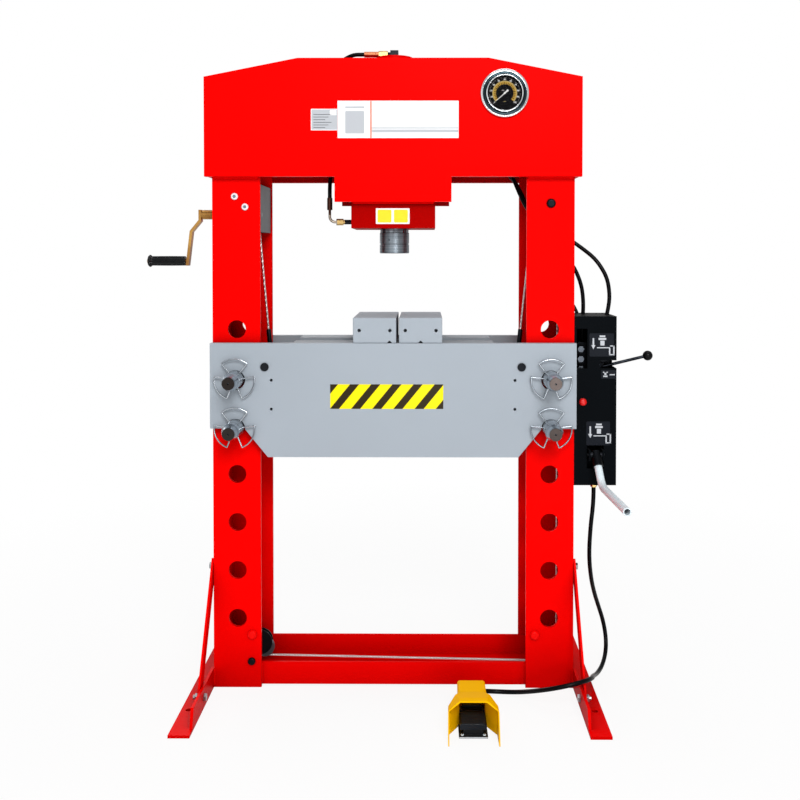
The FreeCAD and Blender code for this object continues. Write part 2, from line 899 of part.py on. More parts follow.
def top_hose():
    """From the cylinder's cap, behind the barrel, into the right column, out of its window to the box."""
    z, side = top_port_z, half_width
    return hose("top_hose", [
        at(-top_hose_x, 0, z), at(-top_hose_x - 32, 0, z), at(-158, 12, z - 15), at(-186, 40, z - 61),
        at(-188, 80, z - 116), at(-165, 104, z - 174), at(-110, 111, z - 216), at(-30, 111, z - 234),
        at(60, 111, z - 244), at(150, 109, z - 254), at(side - 287, 98, z - 266),
        at(side - 212, 82, z - 290), at(side - 170, 64, window_z + 230), at(side - 148, 48, window_z + 170),
        at(side - 124, 34, window_z + 115), at(side - 88, 24, window_z + 70), at(side - 50, 18, window_z + 43),
        at(side - 10, 14, window_z + 29), at(side + 33, 4, window_z - 1), at(side + 80, -16, window_z - 40),
        at(side + 112, -28, window_z - 95), at(side + 119, -32, box_top + 49),
        at(side + 109, -32, box_top - 6),
        at(side + 100, -30, box_top - 51), at(side + 100, -30, valve_top)], hose_dia)


def lower_hose():
    """From the cylinder's lower port, up into the head and behind the barrel to the box."""
    z, side = port_z, half_width
    return hose("lower_hose", [
        at(-lower_hose_x, 0, lower_hose_z), at(-lower_hose_x, 0, z + 106), at(-192, 18, z + 149),
        at(-180, 52, z + 189), at(-152, 88, z + 214), at(-105, 108, z + 224), at(-30, 111, z + 224),
        at(60, 111, z + 221), at(150, 109, z + 212), at(side - 287, 98, z + 200),
        at(side - 210, 90, z + 176), at(side - 158, 78, window_z + 205), at(side - 132, 66, window_z + 153),
        at(side - 110, 54, window_z + 98), at(side - 76, 44, window_z + 45), at(side - 40, 37, window_z + 7),
        at(side - 8, 32, window_z - 26), at(side + 23, 25, window_z - 68), at(side + 43, 20, window_z - 120),
        at(side + 48, 16, box_top + 29), at(side + 44, 14, box_top - 31), at(side + 44, 14, valve_top)],
        hose_dia)


def gauge_hose():
    """From the gauge's back down the right column and through the web's lower hole to the box."""
    y, z, side = -head_front + gauge_can_depth + gauge_stub, gauge_z, half_width
    hole = gauge_hose_hole_z
    fall = (z - 232 - hole - 87) / 3
    return hose("gauge_hose", [
        at(gauge_x, y, z), at(gauge_x, y + 28, z), at(gauge_x + 10, y + 62, z - 16), at(350, 4, z - 50),
        at(side - 134, 36, z - 100), at(side - 94, 58, z - 162), at(side - 58, 70, z - 232),
        at(side - 38, 75, hole + 87 + 2 * fall), at(side - 30, 76, hole + 87 + fall),
        at(side - 27, 74, hole + 87), at(side - 19, 70, hole + 27), at(side + 6, 60, hole - 25),
        at(side + 31, 48, hole - 63), at(side + 41, 43, box_top - 31),
        at(side + 41, 43, valve_top)], gauge_hose_dia)


# Table

def table_outline():
    side = table_half_width
    right = [at(table_belly, 0, table_bottom), at(table_ear_inner, 0, table_ear_bottom),
             at(side, 0, table_ear_bottom), at(side, 0, table_top)]
    return right + [at(-p.x, 0, p.z) for p in reversed(right)]


def table_plate_at(y_low):
    """One of the table's two side plates, which hangs on the pins by its holes and notches."""
    plate = slab(table_outline(), at(0, y_low, 0), at(0, table_plate, 0))
    cuts = []
    for side in (-1, 1):
        for level in (0, 1):
            z = pin_height(level) - table_drop
            cuts.append(rod(at(side * pin_x, y_low - 1, z), BACK, table_plate + 2, table_pin_hole))
        cuts.append(rod(at(side * rope_rod_x, y_low - 1, rope_rod_z), BACK, table_plate + 2,
                        rope_rod_dia + 2 * running_gap))
        for z in (end_bar_low + end_bar_screw_inset, end_bar_high - end_bar_screw_inset):
            cuts.append(rod(at(side * end_bar_x, y_low - 1, z), BACK, table_plate + 2, end_bar_screw))
    return plate.cut(group(cuts))


def table_front_plate():
    return table_plate_at(-table_outer)


def table_rear_plate():
    return table_plate_at(table_inner)


def table_cross_bars():
    """The spacers between the plates: four bars, two end plates and the rails under the blocks."""
    top = table_top - cross_bar_drop
    bars = []
    for x in (cross_bar_inner, cross_bar_outer):
        bars.append(block(x, x + cross_bar_width, -table_inner, table_inner, top - cross_bar_height, top))
    end = block(end_bar_x - end_bar_plate / 2, end_bar_x + end_bar_plate / 2, -table_inner, table_inner,
                end_bar_low, end_bar_high)
    half = end_bar_x - end_bar_plate / 2 - seat_rail_end_gap
    rail = block(-half, half, -table_inner, -table_inner + seat_rail_width,
                 table_top - seat_rail_height, table_top)
    right = bars + [end]
    return group(right + [mirrored(b) for b in right] + [rail, mirrored_y(rail)])


def press_block(x_low, notch_x):
    """A loose block: two threaded holes in the front, two in the top and a small notch below."""
    x_high, half = x_low + block_width, block_depth / 2
    top = table_top + block_height
    body = block(x_low, x_high, -half, half, table_top, top)
    middle = (x_low + x_high) / 2
    cuts = []
    for side in (-1, 1):
        x = middle + side * block_hole_spacing / 2
        cuts.append(rod(at(x, -half - 1, table_top + block_height / 2), BACK, block_hole_depth, block_hole))
        cuts.append(rod(at(x, 0, top + 1), DOWN, block_hole_depth, block_hole))
    wide, x = block_notch / 2 + 1, x_low + notch_x
    notch = slab([at(x - wide, 0, table_top - 1), at(x + wide, 0, table_top - 1),
                  at(x, 0, table_top + block_notch / 2)], at(0, -half - 1, 0), at(0, block_depth + 2, 0))
    return body.makeChamfer(block_edge, body.Edges).cut(group(cuts + [notch]))


def rope_line(z):
    """The slanting line of the left rope, from the drum to the table's rope rod."""
    top, bottom = at(drum_x + rope_on_drum, left_rope_y, drum_z), at(-rope_rod_x, left_rope_y, rope_rod_z)
    return top + (bottom - top) * ((top.z - z) / (top.z - bottom.z))


def table_rope_ends():
    """The rods through the table that the ropes hold, and the sleeves on the ropes' ends."""
    length = 2 * (table_outer + rope_rod_proud)
    bar = rod(at(-rope_rod_x, -length / 2, rope_rod_z), BACK, length, rope_rod_dia)
    foot_of_sleeve, head_of_sleeve = rope_line(rope_rod_z + rope_rod_dia / 3), rope_line(sleeve_top)
    sleeve = rod(foot_of_sleeve, head_of_sleeve - foot_of_sleeve, (head_of_sleeve - foot_of_sleeve).Length,
                 sleeve_dia)
    left = fuse([bar, sleeve])
    return group([left, mirrored(left)])


# Pins

def clip():
    """A wire bent into three open lobes round a pin, in the XZ plane."""
    seat, wire = pin_dia / 2 - clip_wire / 2, clip_wire / 2
    half = math.radians(clip_lobe_deg / 2)
    pieces = []
    for lobe in range(3):
        middle = math.radians(90 + 120 * lobe)
        for edge in (-half, half):
            along = at(math.cos(middle + edge), 0, math.sin(middle + edge))
            pieces.append(Part.makeCylinder(wire, clip_reach - seat, along * seat, along))
            pieces.append(Part.makeSphere(wire, along * clip_reach))
            pieces.append(Part.makeSphere(wire, along * seat))
        for radius, start, turn in ((clip_reach, middle - half, 2 * half),
                                    (seat, middle + half, math.radians(120) - 2 * half)):
            bow = Part.makeTorus(radius, wire, at(0, 0, 0), UP, -180, 180, math.degrees(turn))
            bow.rotate(at(0, 0, 0), UP, math.degrees(start))
            bow.rotate(at(0, 0, 0), RIGHT, 90)
            pieces.append(bow)
    return pieces[0].multiFuse(pieces[1:])


def pin(side, level):
    """A pin with its clip; side is -1 for the left column and level 0 is the lower row."""
    x, z = side * pin_x, pin_height(level)
    front, rear = -table_outer - pin_front, table_outer + pin_rear
    shank = rod(at(x, front + pin_cone, z), BACK, rear - front - pin_cone, pin_dia)
    cone = Part.makeCone(pin_end_dia / 2, pin_dia / 2, pin_cone, at(x, front, z), BACK)
    centre = Part.makeCone(pin_centre_dia / 2, 0.5, pin_centre_dia, at(x, front - 0.5, z), BACK)
    clip_y = -table_outer - clip_stand_off
    seat = ring(at(x, clip_y - clip_wire / 2, z), BACK, clip_wire, pin_dia + 2, pin_dia - 2 * clip_wire)
    wire = clip()
    wire.translate(at(x, clip_y, z))
    return group([fuse([shank, cone]).cut(group([centre, seat])), wire])


# Winch, ropes and sheaves

def winch_housing():
    """Two bearing cheeks, two side walls and a lid; it is open below for the ropes."""
    outer = block(housing_left, housing_right, -flange_inner, flange_inner, housing_bottom, housing_top)
    inner = block(housing_left + housing_wall, housing_right - housing_wall, -flange_inner + housing_wall,
                  flange_inner - housing_wall, housing_bottom - 1, housing_top - housing_wall)
    axle = rod(at(drum_x, -flange_inner - 1, drum_z), BACK, 2 * flange_inner + 2,
               drum_axle_dia + 2 * running_gap)
    shaft = rod(at(housing_left - 1, crank_y, crank_z), RIGHT, housing_right - housing_left + 2,
                shaft_dia + 2 * running_gap)
    bolts = []
    for side in (-1, 1):
        x, z = drum_x + side * housing_bolt_offset, drum_z - side * housing_bolt_offset
        bolts.append(rod(at(x, -flange_inner - 1, z), BACK, housing_wall + 2, housing_bolt + 2 * running_gap))
    return outer.cut(group([inner, axle, shaft] + bolts))


def winch_worm():
    """The crank's shaft with the worm on it."""
    start = at(housing_right, crank_y, crank_z)
    shaft = rod(start, LEFT, housing_right - crank_hub_end, shaft_dia)
    worm = rod(at(drum_x + worm_length / 2, crank_y, crank_z), LEFT, worm_length,
               2 * worm_pitch_radius - seat_gap)
    return fuse([shaft, worm])


def winch_drum():
    """The worm wheel and the drum on one axle, with a flange at each end of each rope's turns."""
    low, high = left_rope_y - drum_end_margin, right_rope_y + drum_end_margin
    pieces = [rod(at(drum_x, -flange_inner, drum_z), BACK, 2 * flange_inner, drum_axle_dia),
              rod(at(drum_x, crank_y - wheel_width / 2, drum_z), BACK, wheel_width,
                  2 * wheel_pitch_radius - seat_gap),
              rod(at(drum_x, low, drum_z), BACK, high - low, 2 * drum_radius)]
    for y in (low, left_rope_y + drum_end_margin - 1.5, high - 3):
        pieces.append(rod(at(drum_x, y, drum_z), BACK, 3, 2 * rope_on_drum + drum_flange * 2))
    return fuse(pieces)


def rope_turns(y, step):
    """Two turns of rope on the drum beside the one that leaves it."""
    turns = []
    for i in (1, 2):
        turns.append(Part.makeTorus(rope_on_drum, rope_dia / 2, at(drum_x, y + i * step, drum_z), BACK))
    return turns


def lifting_rope_left():
    line, length = pipe([at(drum_x, left_rope_y, drum_z + rope_on_drum),
                         at(drum_x + rope_on_drum, left_rope_y, drum_z + rope_on_drum),
                         rope_line(sleeve_top + seat_gap)], [rope_on_drum * 0.95], rope_dia)
    print("lifting_rope_left length", round(length))
    return group([line] + rope_turns(left_rope_y, -rope_dia - seat_gap))


def lifting_rope_right():
    """Down the left column, under both lower sheaves, up the right column and over the upper sheave."""
    bottom, top = lower_sheave_z - lower_sheave_radius, upper_sheave_z + upper_sheave_radius
    left = left_sheave_x - lower_sheave_radius
    outer, inner = upper_sheave_x + upper_sheave_radius, upper_sheave_x - upper_sheave_radius
    end = mirrored_point(rope_line(sleeve_top + seat_gap))
    points = [at(drum_x, right_rope_y, drum_z + rope_on_drum),
              at(drum_x + rope_on_drum, right_rope_y, drum_z + rope_on_drum),
              at(left, right_rope_y, bottom), at(outer, left_rope_y, bottom), at(outer, left_rope_y, top),
              at(inner, left_rope_y, top), end]
    radii = [rope_on_drum * 0.95, lower_sheave_radius, lower_sheave_radius, upper_sheave_radius,
             upper_sheave_radius]
    line, length = pipe(points, radii, rope_dia)
    print("lifting_rope_right length", round(length))
    return group([line] + rope_turns(right_rope_y, rope_dia + seat_gap))


def mirrored_point(point):
    return at(-point.x, point.y, point.z)


def sheave(x, y, z, radius):
    """A grooved wheel; radius is to the middle of the rope."""
    floor_radius = radius - rope_dia / 2 - seat_gap
    rim, half = radius + sheave_rim, sheave_width / 2
    hole = axle_dia / 2 + running_gap
    profile = [(hole, -half), (rim, -half), (rim, -half + 1), (floor_radius, -rope_dia / 2 - 1.3),
               (floor_radius, rope_dia / 2 + 1.3), (rim, half - 1), (rim, half), (hole, half)]
    return turned(profile, at(x, y, z), BACK)


def lower_left_pulley():
    return sheave(left_sheave_x, right_rope_y, lower_sheave_z, lower_sheave_radius)


def lower_right_pulley():
    return sheave(right_sheave_x, left_rope_y, lower_sheave_z, lower_sheave_radius)


def upper_right_pulley():
    return sheave(upper_sheave_x, left_rope_y, upper_sheave_z, upper_sheave_radius)


def spacers(x, y, z, low, high):
    """Tubes on an axle that keep a sheave in its place."""
    half = sheave_width / 2 + seat_gap
    outer = axle_dia + 2 * spacer_wall
    return [ring(at(x, low, z), BACK, y - half - low, outer, axle_dia - 1),
            ring(at(x, y + half, z), BACK, high - y - half, outer, axle_dia - 1)]


def pulley_axles():
    """The sheaves' axles with their spacers, the dark cheeks at the lower left and the front heads."""
    right = []
    for x, z in ((right_sheave_x, lower_sheave_z), (upper_sheave_x, upper_sheave_z)):
        front = -flange_inner
        length = 2 * flange_inner
        if z == upper_sheave_z:
            front, length = -half_depth - 2, flange_inner + half_depth + 2
        axle = [rod(at(x, front, z), BACK, length, axle_dia)] + spacers(x, left_rope_y, z, -flange_inner,
                                                                       flange_inner)
        if z == upper_sheave_z:
            axle.append(dome(at(x, -half_depth, z), FRONT, dome_dia, dome_height))
        right.append(fuse(axle))
    half = sheave_width / 2 + seat_gap
    cheek_low, cheek_high = right_rope_y - half - cheek_plate, right_rope_y + half + cheek_plate
    left = [rod(at(cheek_x, cheek_low, cheek_z), BACK, cheek_plate, cheek_dia),
            rod(at(cheek_x, right_rope_y + half, cheek_z), BACK, cheek_plate, cheek_dia),
            rod(at(left_sheave_x, cheek_low, lower_sheave_z), BACK, cheek_high - cheek_low, axle_dia),
            rod(at(cheek_x, -half_depth - 1, cheek_z), BACK, cheek_low + half_depth + 2, axle_dia),
            rod(at(cheek_x, cheek_high - 1, cheek_z), BACK, flange_inner - cheek_high + 1, axle_dia),
            dome(at(cheek_x, -half_depth, cheek_z), FRONT, dome_dia - 4, dome_height - 2)]
    return group(right + [fuse(left)])


def crank_arm():
    """The hub on the shaft and the flat bar that steps out and down to the grip's stem."""
    hub = rod(at(crank_hub_start, crank_y, crank_z), LEFT, crank_hub_length, crank_hub_dia)
    hub = hub.cut(rod(at(0, crank_y, crank_z), LEFT, -crank_hub_end, shaft_dia))
    x, top = crank_hub_end, crank_z + crank_hub_dia / 2
    elbow_x, end_x = x - crank_elbow_out, x - crank_arm_out
    elbow_z, end_z = crank_z - crank_elbow_drop, crank_z - crank_arm_drop - crank_hub_dia / 2
    outline = [at(x, 0, top), at(x - crank_bar, 0, top), at(x - crank_bar, 0, crank_z - 16),
               at(elbow_x - crank_bar, 0, elbow_z), at(end_x - crank_bar, 0, end_z), at(end_x, 0, end_z),
               at(elbow_x, 0, elbow_z - 3), at(x, 0, crank_z - 20)]
    bar = slab(outline, at(0, crank_y - crank_bar_width / 2, 0), at(0, crank_bar_width, 0))
    stem = rod(grip_point(-2), LEFT, grip_length + 8, grip_stem_dia)
    return fuse([hub, bar, stem])


def grip_point(out):
    """A point on the grip's axis, that far out from the crank's bar."""
    return at(crank_hub_end - crank_arm_out - crank_bar + 2.5 - out, crank_y, crank_z - crank_arm_drop)


def crank_grip():
    """The turning grip, with a shallow waist and a wider outer end."""
    bore_radius = grip_stem_dia / 2 + running_gap
    body, end = grip_dia / 2, grip_end_dia / 2
    start = grip_start + seat_gap
    outline = [(bore_radius, 0), (body - 2, 0), (body, 3), (body, grip_length - 12), (end, grip_length - 8),
               (end, grip_length - 3), (end - 3, grip_length), (bore_radius, grip_length)]
    return turned(outline, grip_point(start), LEFT)


# Control box

def control_box():
    """The sheet box on the right column; its front and side have slots for the lever and the pump."""
    outer = block(box_left, box_right, -box_front, box_back, box_bottom, box_top)
    inner = block(box_left + box_wall, box_right - box_wall, -box_front + box_wall, box_back - box_wall,
                  box_bottom + box_wall, box_top - box_wall)
    front, behind = -box_front - 1, -box_front + box_wall + 1
    lever = block(lever_slot_left, box_right + 1, front, -lever_slot_back, lever_slot_low,
                  lever_slot_low + lever_slot_height)
    window = block(window_left, window_left + window_across, front, behind, window_low,
                   window_low + window_up)
    slot_half = clevis_gap / 2 + clevis_cheek + slot_gap
    pump = block(pump_x - slot_half, pump_x + slot_half, front, behind, pump_z - pump_slot_height * 0.58,
                 pump_z + pump_slot_height * 0.42)
    cuts = [inner, lever, window, pump]
    cuts.append(rod(at(box_fitting_x, box_fitting_y, box_bottom - 1), UP, box_wall + 2, cord_dia + slot_gap))
    cuts.append(rod(at(oil_cap_x, front, oil_cap_z), BACK, box_wall + 2, oil_cap_dia - 2 * slot_gap))
    for x, y, dia in ((109, -32, hose_dia + 8), (46, 15, hose_dia + 6), (37, 45, gauge_hose_dia + 10)):
        cuts.append(rod(at(box_left + x, y, box_top - box_wall - 1), UP, box_wall + 2, dia))
    return outer.cut(group(cuts))


def pump_unit():
    """The oil tank with the hand pump's cylinder and the two ears that carry its socket."""
    tank = block(tank_left, tank_right, -tank_front, tank_back, tank_bottom, tank_top)
    shelf = block(box_left + box_wall, tank_right, -tank_front, tank_back, box_bottom + box_wall, tank_bottom)
    hose_way = rod(at(box_fitting_x, box_fitting_y, box_bottom), UP, 2 * tank_lift, cord_dia + 2 * slot_gap)
    pieces = [tank, shelf]
    for side in (-1, 1):
        low = pump_x + side * clevis_gap / 2 - (clevis_cheek if side < 0 else 0)
        pieces.append(block(low, low + clevis_cheek, pump_y - pump_ear_reach, -tank_front,
                            pump_z - socket_dia / 2, pump_z + socket_dia / 2))
    neck = rod(at(oil_cap_x, -tank_front, oil_cap_z), FRONT, box_front - tank_front - 1, oil_cap_dia - 5)
    hole = rod(at(pump_x - clevis_gap, pump_y, pump_z), RIGHT, 2 * clevis_gap, pump_pin_dia + 2 * running_gap)
    return fuse(pieces + [neck]).cut(group([hose_way, hole]))


def handle_points():
    return [at(pump_x, pump_y, pump_z), at(pump_x + handle_bend_x, handle_bend_y, pump_z - handle_bend_drop),
            at(pump_x + handle_end_x, handle_end_y, pump_z - handle_end_drop)]


def pump_socket():
    """The rocking socket and its pin; the handle is pushed into it."""
    pivot, bend_point, _ = handle_points()
    along = (bend_point - pivot).normalize()
    sleeve = rod(pivot - along * 8, along, socket_length, socket_dia)
    hole = rod(pivot + along * socket_depth, along, socket_length, handle_dia + 2 * running_gap)
    barrel = rod(at(pump_x - clevis_gap / 2 + seat_gap, pump_y, pump_z), RIGHT, clevis_gap - 2 * seat_gap,
                 socket_barrel)
    cross_pin = rod(at(pump_x - clevis_gap / 2 - clevis_cheek - 2, pump_y, pump_z), RIGHT,
                    clevis_gap + 2 * clevis_cheek + 4, pump_pin_dia)
    return fuse([sleeve.cut(hole), barrel, cross_pin])


def pump_handle():
    """A bent tube, open at its free end."""
    pivot, bend_point, end = handle_points()
    start = pivot + (bend_point - pivot).normalize() * (socket_depth + seat_gap)
    outer, _ = pipe([start, bend_point, end], [handle_bend_radius], handle_dia)
    inner, _ = pipe([start, bend_point, end], [handle_bend_radius], handle_dia - 2 * handle_wall)
    return outer.cut(inner)


def release_valve():
    """The valve block under the hoses' ends, with the boss that the lever turns on."""
    half = lever_hub_height / 2
    body = block(valve_left, valve_right, -valve_front, tank_back, valve_bottom, valve_top)
    bracket = block(valve_left, valve_right, 0, tank_back, tank_top, valve_bottom)
    hub = lever_hub_dia / 2
    boss = block(lever_x - hub - 3, lever_x + hub + 3, lever_y - hub, -valve_front, valve_bottom,
                 lever_z - half - seat_gap)
    spindle = rod(at(lever_x, lever_y, valve_bottom + 1), UP, lever_z + half + 3 - valve_bottom,
                  lever_spindle)
    return fuse([body, bracket, boss, spindle])


def release_lever():
    """The hub, the rod through the slot and the ball."""
    hub = rod(at(lever_x, lever_y, lever_z - lever_hub_height / 2), UP, lever_hub_height, lever_hub_dia)
    hub = hub.cut(rod(at(lever_x, lever_y, lever_z - lever_hub_height), UP, 2 * lever_hub_height,
                      lever_spindle + 2 * running_gap))
    start = at(lever_x + lever_hub_dia / 2 - 3, lever_y, lever_z)
    end = at(lever_x + lever_reach, lever_y, lever_z + lever_rise)
    arm = rod(start, end - start, (end - start).Length, lever_rod_dia)
    return fuse([hub, arm, Part.makeSphere(ball_dia / 2, end)])


def oil_cap():
    stem = rod(at(oil_cap_x, -box_front + 1, oil_cap_z), FRONT, 2, oil_cap_dia - 5)
    return fuse([stem, dome(at(oil_cap_x, -box_front, oil_cap_z), FRONT, oil_cap_dia, oil_cap_proud)])


# Foot pedal

def hood(shrink, floor):
    """The guard's outer form, or with a shrink its inside: narrow behind, flared in front."""
    back, front = guard_back - shrink, guard_front - (shrink and 5)
    rear, wide = guard_rear_half_width - shrink, guard_half_width - shrink
    top, rear_top = guard_height - shrink, guard_rear_height - shrink
    plan = [at(pedal_x - rear, back, 0), at(pedal_x - rear, guard_flare_back - shrink / 2, 0),
            at(pedal_x - wide, guard_flare_front - shrink / 2, 0), at(pedal_x - wide - 1, front, 0),
            at(pedal_x + wide + 1, front, 0), at(pedal_x + wide, guard_flare_front - shrink / 2, 0),
            at(pedal_x + rear, guard_flare_back - shrink / 2, 0), at(pedal_x + rear, back, 0)]
    tall = slab(plan, at(0, 0, floor), at(0, 0, guard_height))
    side = [at(0, back, floor), at(0, back, rear_top - 6), at(0, back - 6, rear_top),
            at(0, guard_flare_back, rear_top), at(0, guard_flare_front, top),
            at(0, front + guard_edge_slope, top),
            at(0, front, floor)]
    if shrink:
        side[-2] = at(0, front, top)
    sides = slab(side, at(pedal_x - 100, 0, 0), at(200, 0, 0))
    half = guard_half_width + 1.5 - shrink
    shoulder = guard_side_height - shrink * 0.4
    slope = half - guard_shoulder
    front_view = [at(-half, 0, floor), at(-half, 0, shoulder), at(-slope, 0, top), at(slope, 0, top),
                  at(half, 0, shoulder), at(half, 0, floor)]
    ends = slab(front_view, at(pedal_x, front - 1, 0), at(0, back - front + 2, 0))
    return tall.common(sides).common(ends)


def pedal_guard():
    """The hood with its bends rounded outside, open in front, over the base and round the hose."""
    outside = hood(0, 0)
    bends = [edge for edge in outside.Edges
             if edge.BoundBox.ZMax > guard_wall and edge.BoundBox.YMax > guard_flare_front - guard_wall]
    shell = outside.makeFillet(guard_bend, bends).cut(hood(guard_wall, -1))
    base = block(pedal_x - pedal_base_width / 2 - seat_gap, pedal_x + pedal_base_width / 2 + seat_gap,
                 pedal_front - seat_gap, guard_back + 1, -1, pedal_base_plate)
    hose_way = rod(at(pedal_x, guard_back + 1, pedal_port_z), FRONT, 10, fitting_nut + 5)
    return shell.cut(group([base, hose_way]))


def pedal_base():
    """The floor plate with the valve body, the hinge ears and the front stop."""
    half, body_half, stop_half = pedal_base_width / 2, pedal_body_width / 2, pedal_stop_width / 2
    body_front, body_back = treadle_hinge_y + 14, pedal_back - 4
    ear_top = treadle_hinge_z + hinge_pin_dia
    plate = block(pedal_x - half, pedal_x + half, pedal_front, guard_back, 0, pedal_base_plate)
    body = block(pedal_x - body_half, pedal_x + body_half, body_front, body_back, pedal_base_plate,
                 pedal_body_top)
    stop = block(pedal_x - stop_half, pedal_x + stop_half, treadle_front + 8, treadle_front + 26,
                 pedal_base_plate, pedal_stop_top)
    pieces = [plate, body, stop]
    for side in (-1, 1):
        inner, outer = sorted((side * (body_half + 4), side * (body_half + 4 + hinge_ear)))
        pieces.append(block(pedal_x + inner, pedal_x + outer, treadle_hinge_y - hinge_ear_reach, body_front,
                            pedal_base_plate, ear_top))
        near, far = sorted((side * (body_half - 2), side * (body_half + 4 + hinge_ear)))
        pieces.append(block(pedal_x + near, pedal_x + far, body_front, body_front + hinge_ear + 2,
                            pedal_base_plate, ear_top))
    nipple = hexagon(at(pedal_x, body_back, pedal_port_z), BACK, 14, fitting_nut)
    neck = rod(at(pedal_x, pedal_back, pedal_port_z), BACK, pedal_neck, hose_dia)
    hole = rod(at(pedal_x - half, treadle_hinge_y, treadle_hinge_z), RIGHT, pedal_base_width,
               hinge_pin_dia + 2 * running_gap)
    return fuse(pieces + [nipple, neck]).cut(hole)


def pedal_treadle():
    """The sheet treadle with a front lip, side lips, a hinge barrel and its pin."""
    half, barrel_half = treadle_width / 2, pedal_body_width / 2 + 3.5
    back, top = treadle_hinge_y - treadle_barrel, treadle_hinge_z + treadle_sheet
    sheet = block(pedal_x - half, pedal_x + half, treadle_front, back, top - treadle_sheet, top)
    lip = block(pedal_x - half, pedal_x + half, treadle_front, treadle_front + treadle_sheet,
                top - treadle_lip, top)
    pieces = [sheet, lip]
    for low in (-half, half - treadle_sheet):
        pieces.append(block(pedal_x + low, pedal_x + low + treadle_sheet, treadle_front, back,
                            top - treadle_side_lip, top))
    pieces.append(rod(at(pedal_x - barrel_half, treadle_hinge_y, treadle_hinge_z), RIGHT, 2 * barrel_half,
                      treadle_barrel))
    pieces.append(block(pedal_x - barrel_half, pedal_x + barrel_half, back - 1, treadle_hinge_y,
                        treadle_hinge_z - treadle_sheet + 1, top))
    pieces.append(rod(at(pedal_x - half + 1, treadle_hinge_y, treadle_hinge_z), RIGHT, treadle_width - 2,
                      hinge_pin_dia))
    return fuse(pieces)


def pedal_hose():
    """The loose hose from the box to the pedal; it humps over the foot's leg and lies on the floor."""
    return hose("pedal_hose", [
        pedal_hose_start(), at(box_fitting_x, box_fitting_y, 527), at(580, -70, 461), at(578, -52.5, 369),
        at(591, -10, 287.5), at(609, 35.5, 225.5), at(628.5, 69.5, 171.5), at(644.5, 86, 125),
        at(653, 81, 77), at(649, 55, 38.5), at(631, 13, 11.5), at(608, -34, 7), at(591.5, -83, 21),
        at(579, -133, 39), at(568, -183, 57), at(561.5, -233, 75), at(537, -276, 84.5),
        at(491.5, -294.5, 80), at(447.5, -284, 66), at(406.5, -247.5, 44), at(371.5, -203, 21.5),
        at(337, -174, 8.5), at(296, -165.5, 6.5), at(259.5, -175, 12), at(232.5, -197, 19.5),
        at(pedal_x, -230, pedal_port_z),
        at(pedal_x, pedal_back + pedal_neck, pedal_port_z)],
        cord_dia)


def parts():
    """Every sub-part by its name."""
    made = {
        "left_column": left_column(), "right_column": right_column(),
        "head_front_plate": head_front_plate(), "head_rear_plate": head_rear_plate(),
        "head_end_plates": head_end_plates(), "head_webs": head_webs(),
        "cylinder_collar": cylinder_collar(), "front_tie": front_tie(), "rear_tie": rear_tie(),
        "left_foot": mirrored(foot()), "right_foot": foot(), "braces": braces(), "frame_bolts": frame_bolts(),
        "cylinder_barrel": cylinder_barrel(), "cylinder_cap": cylinder_cap(),
        "cylinder_gland": cylinder_gland(), "piston": piston(), "piston_seal": piston_seal(),
        "ram_rod": ram_rod(), "press_head": press_head(),
        "gauge_case": gauge_case(), "gauge_dial": gauge_dial(), "gauge_needle": gauge_needle(),
        "gauge_glass": gauge_glass(),
        "port_fittings": port_fittings(), "top_hose": top_hose(), "lower_hose": lower_hose(),
        "gauge_hose": gauge_hose(),
        "table_front_plate": table_front_plate(), "table_rear_plate": table_rear_plate(),
        "table_cross_bars": table_cross_bars(), "table_rope_ends": table_rope_ends(),
        "press_block_left": press_block(block_left_x, block_notch_x),
        "press_block_right": press_block(block_right_x, block_width / 2),
        "winch_housing": winch_housing(), "winch_worm": winch_worm(), "winch_drum": winch_drum(),
        "crank_arm": crank_arm(), "crank_grip": crank_grip(),
        "lifting_rope_left": lifting_rope_left(), "lifting_rope_right": lifting_rope_right(),
        "lower_left_pulley": lower_left_pulley(), "lower_right_pulley": lower_right_pulley(),
        "upper_right_pulley": upper_right_pulley(), "pulley_axles": pulley_axles(),
        "control_box": control_box(), "pump_unit": pump_unit(), "pump_socket": pump_socket(),
        "pump_handle": pump_handle(), "release_valve": release_valve(), "release_lever": release_lever(),
        "oil_cap": oil_cap(),
        "pedal_guard": pedal_guard(), "pedal_base": pedal_base(), "pedal_treadle": pedal_treadle(),
        "pedal_hose": pedal_hose(),
    }
    for side, column_name in ((-1, "left"), (1, "right")):
        for level, row in ((0, "lower"), (1, "upper")):
            made[f"pin_{column_name}_{row}"] = pin(side, level)
    return made


os.makedirs("parts", exist_ok=True)
for name, shape in parts().items():
    shape.exportStep(f"parts/{name}.step")
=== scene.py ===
import math

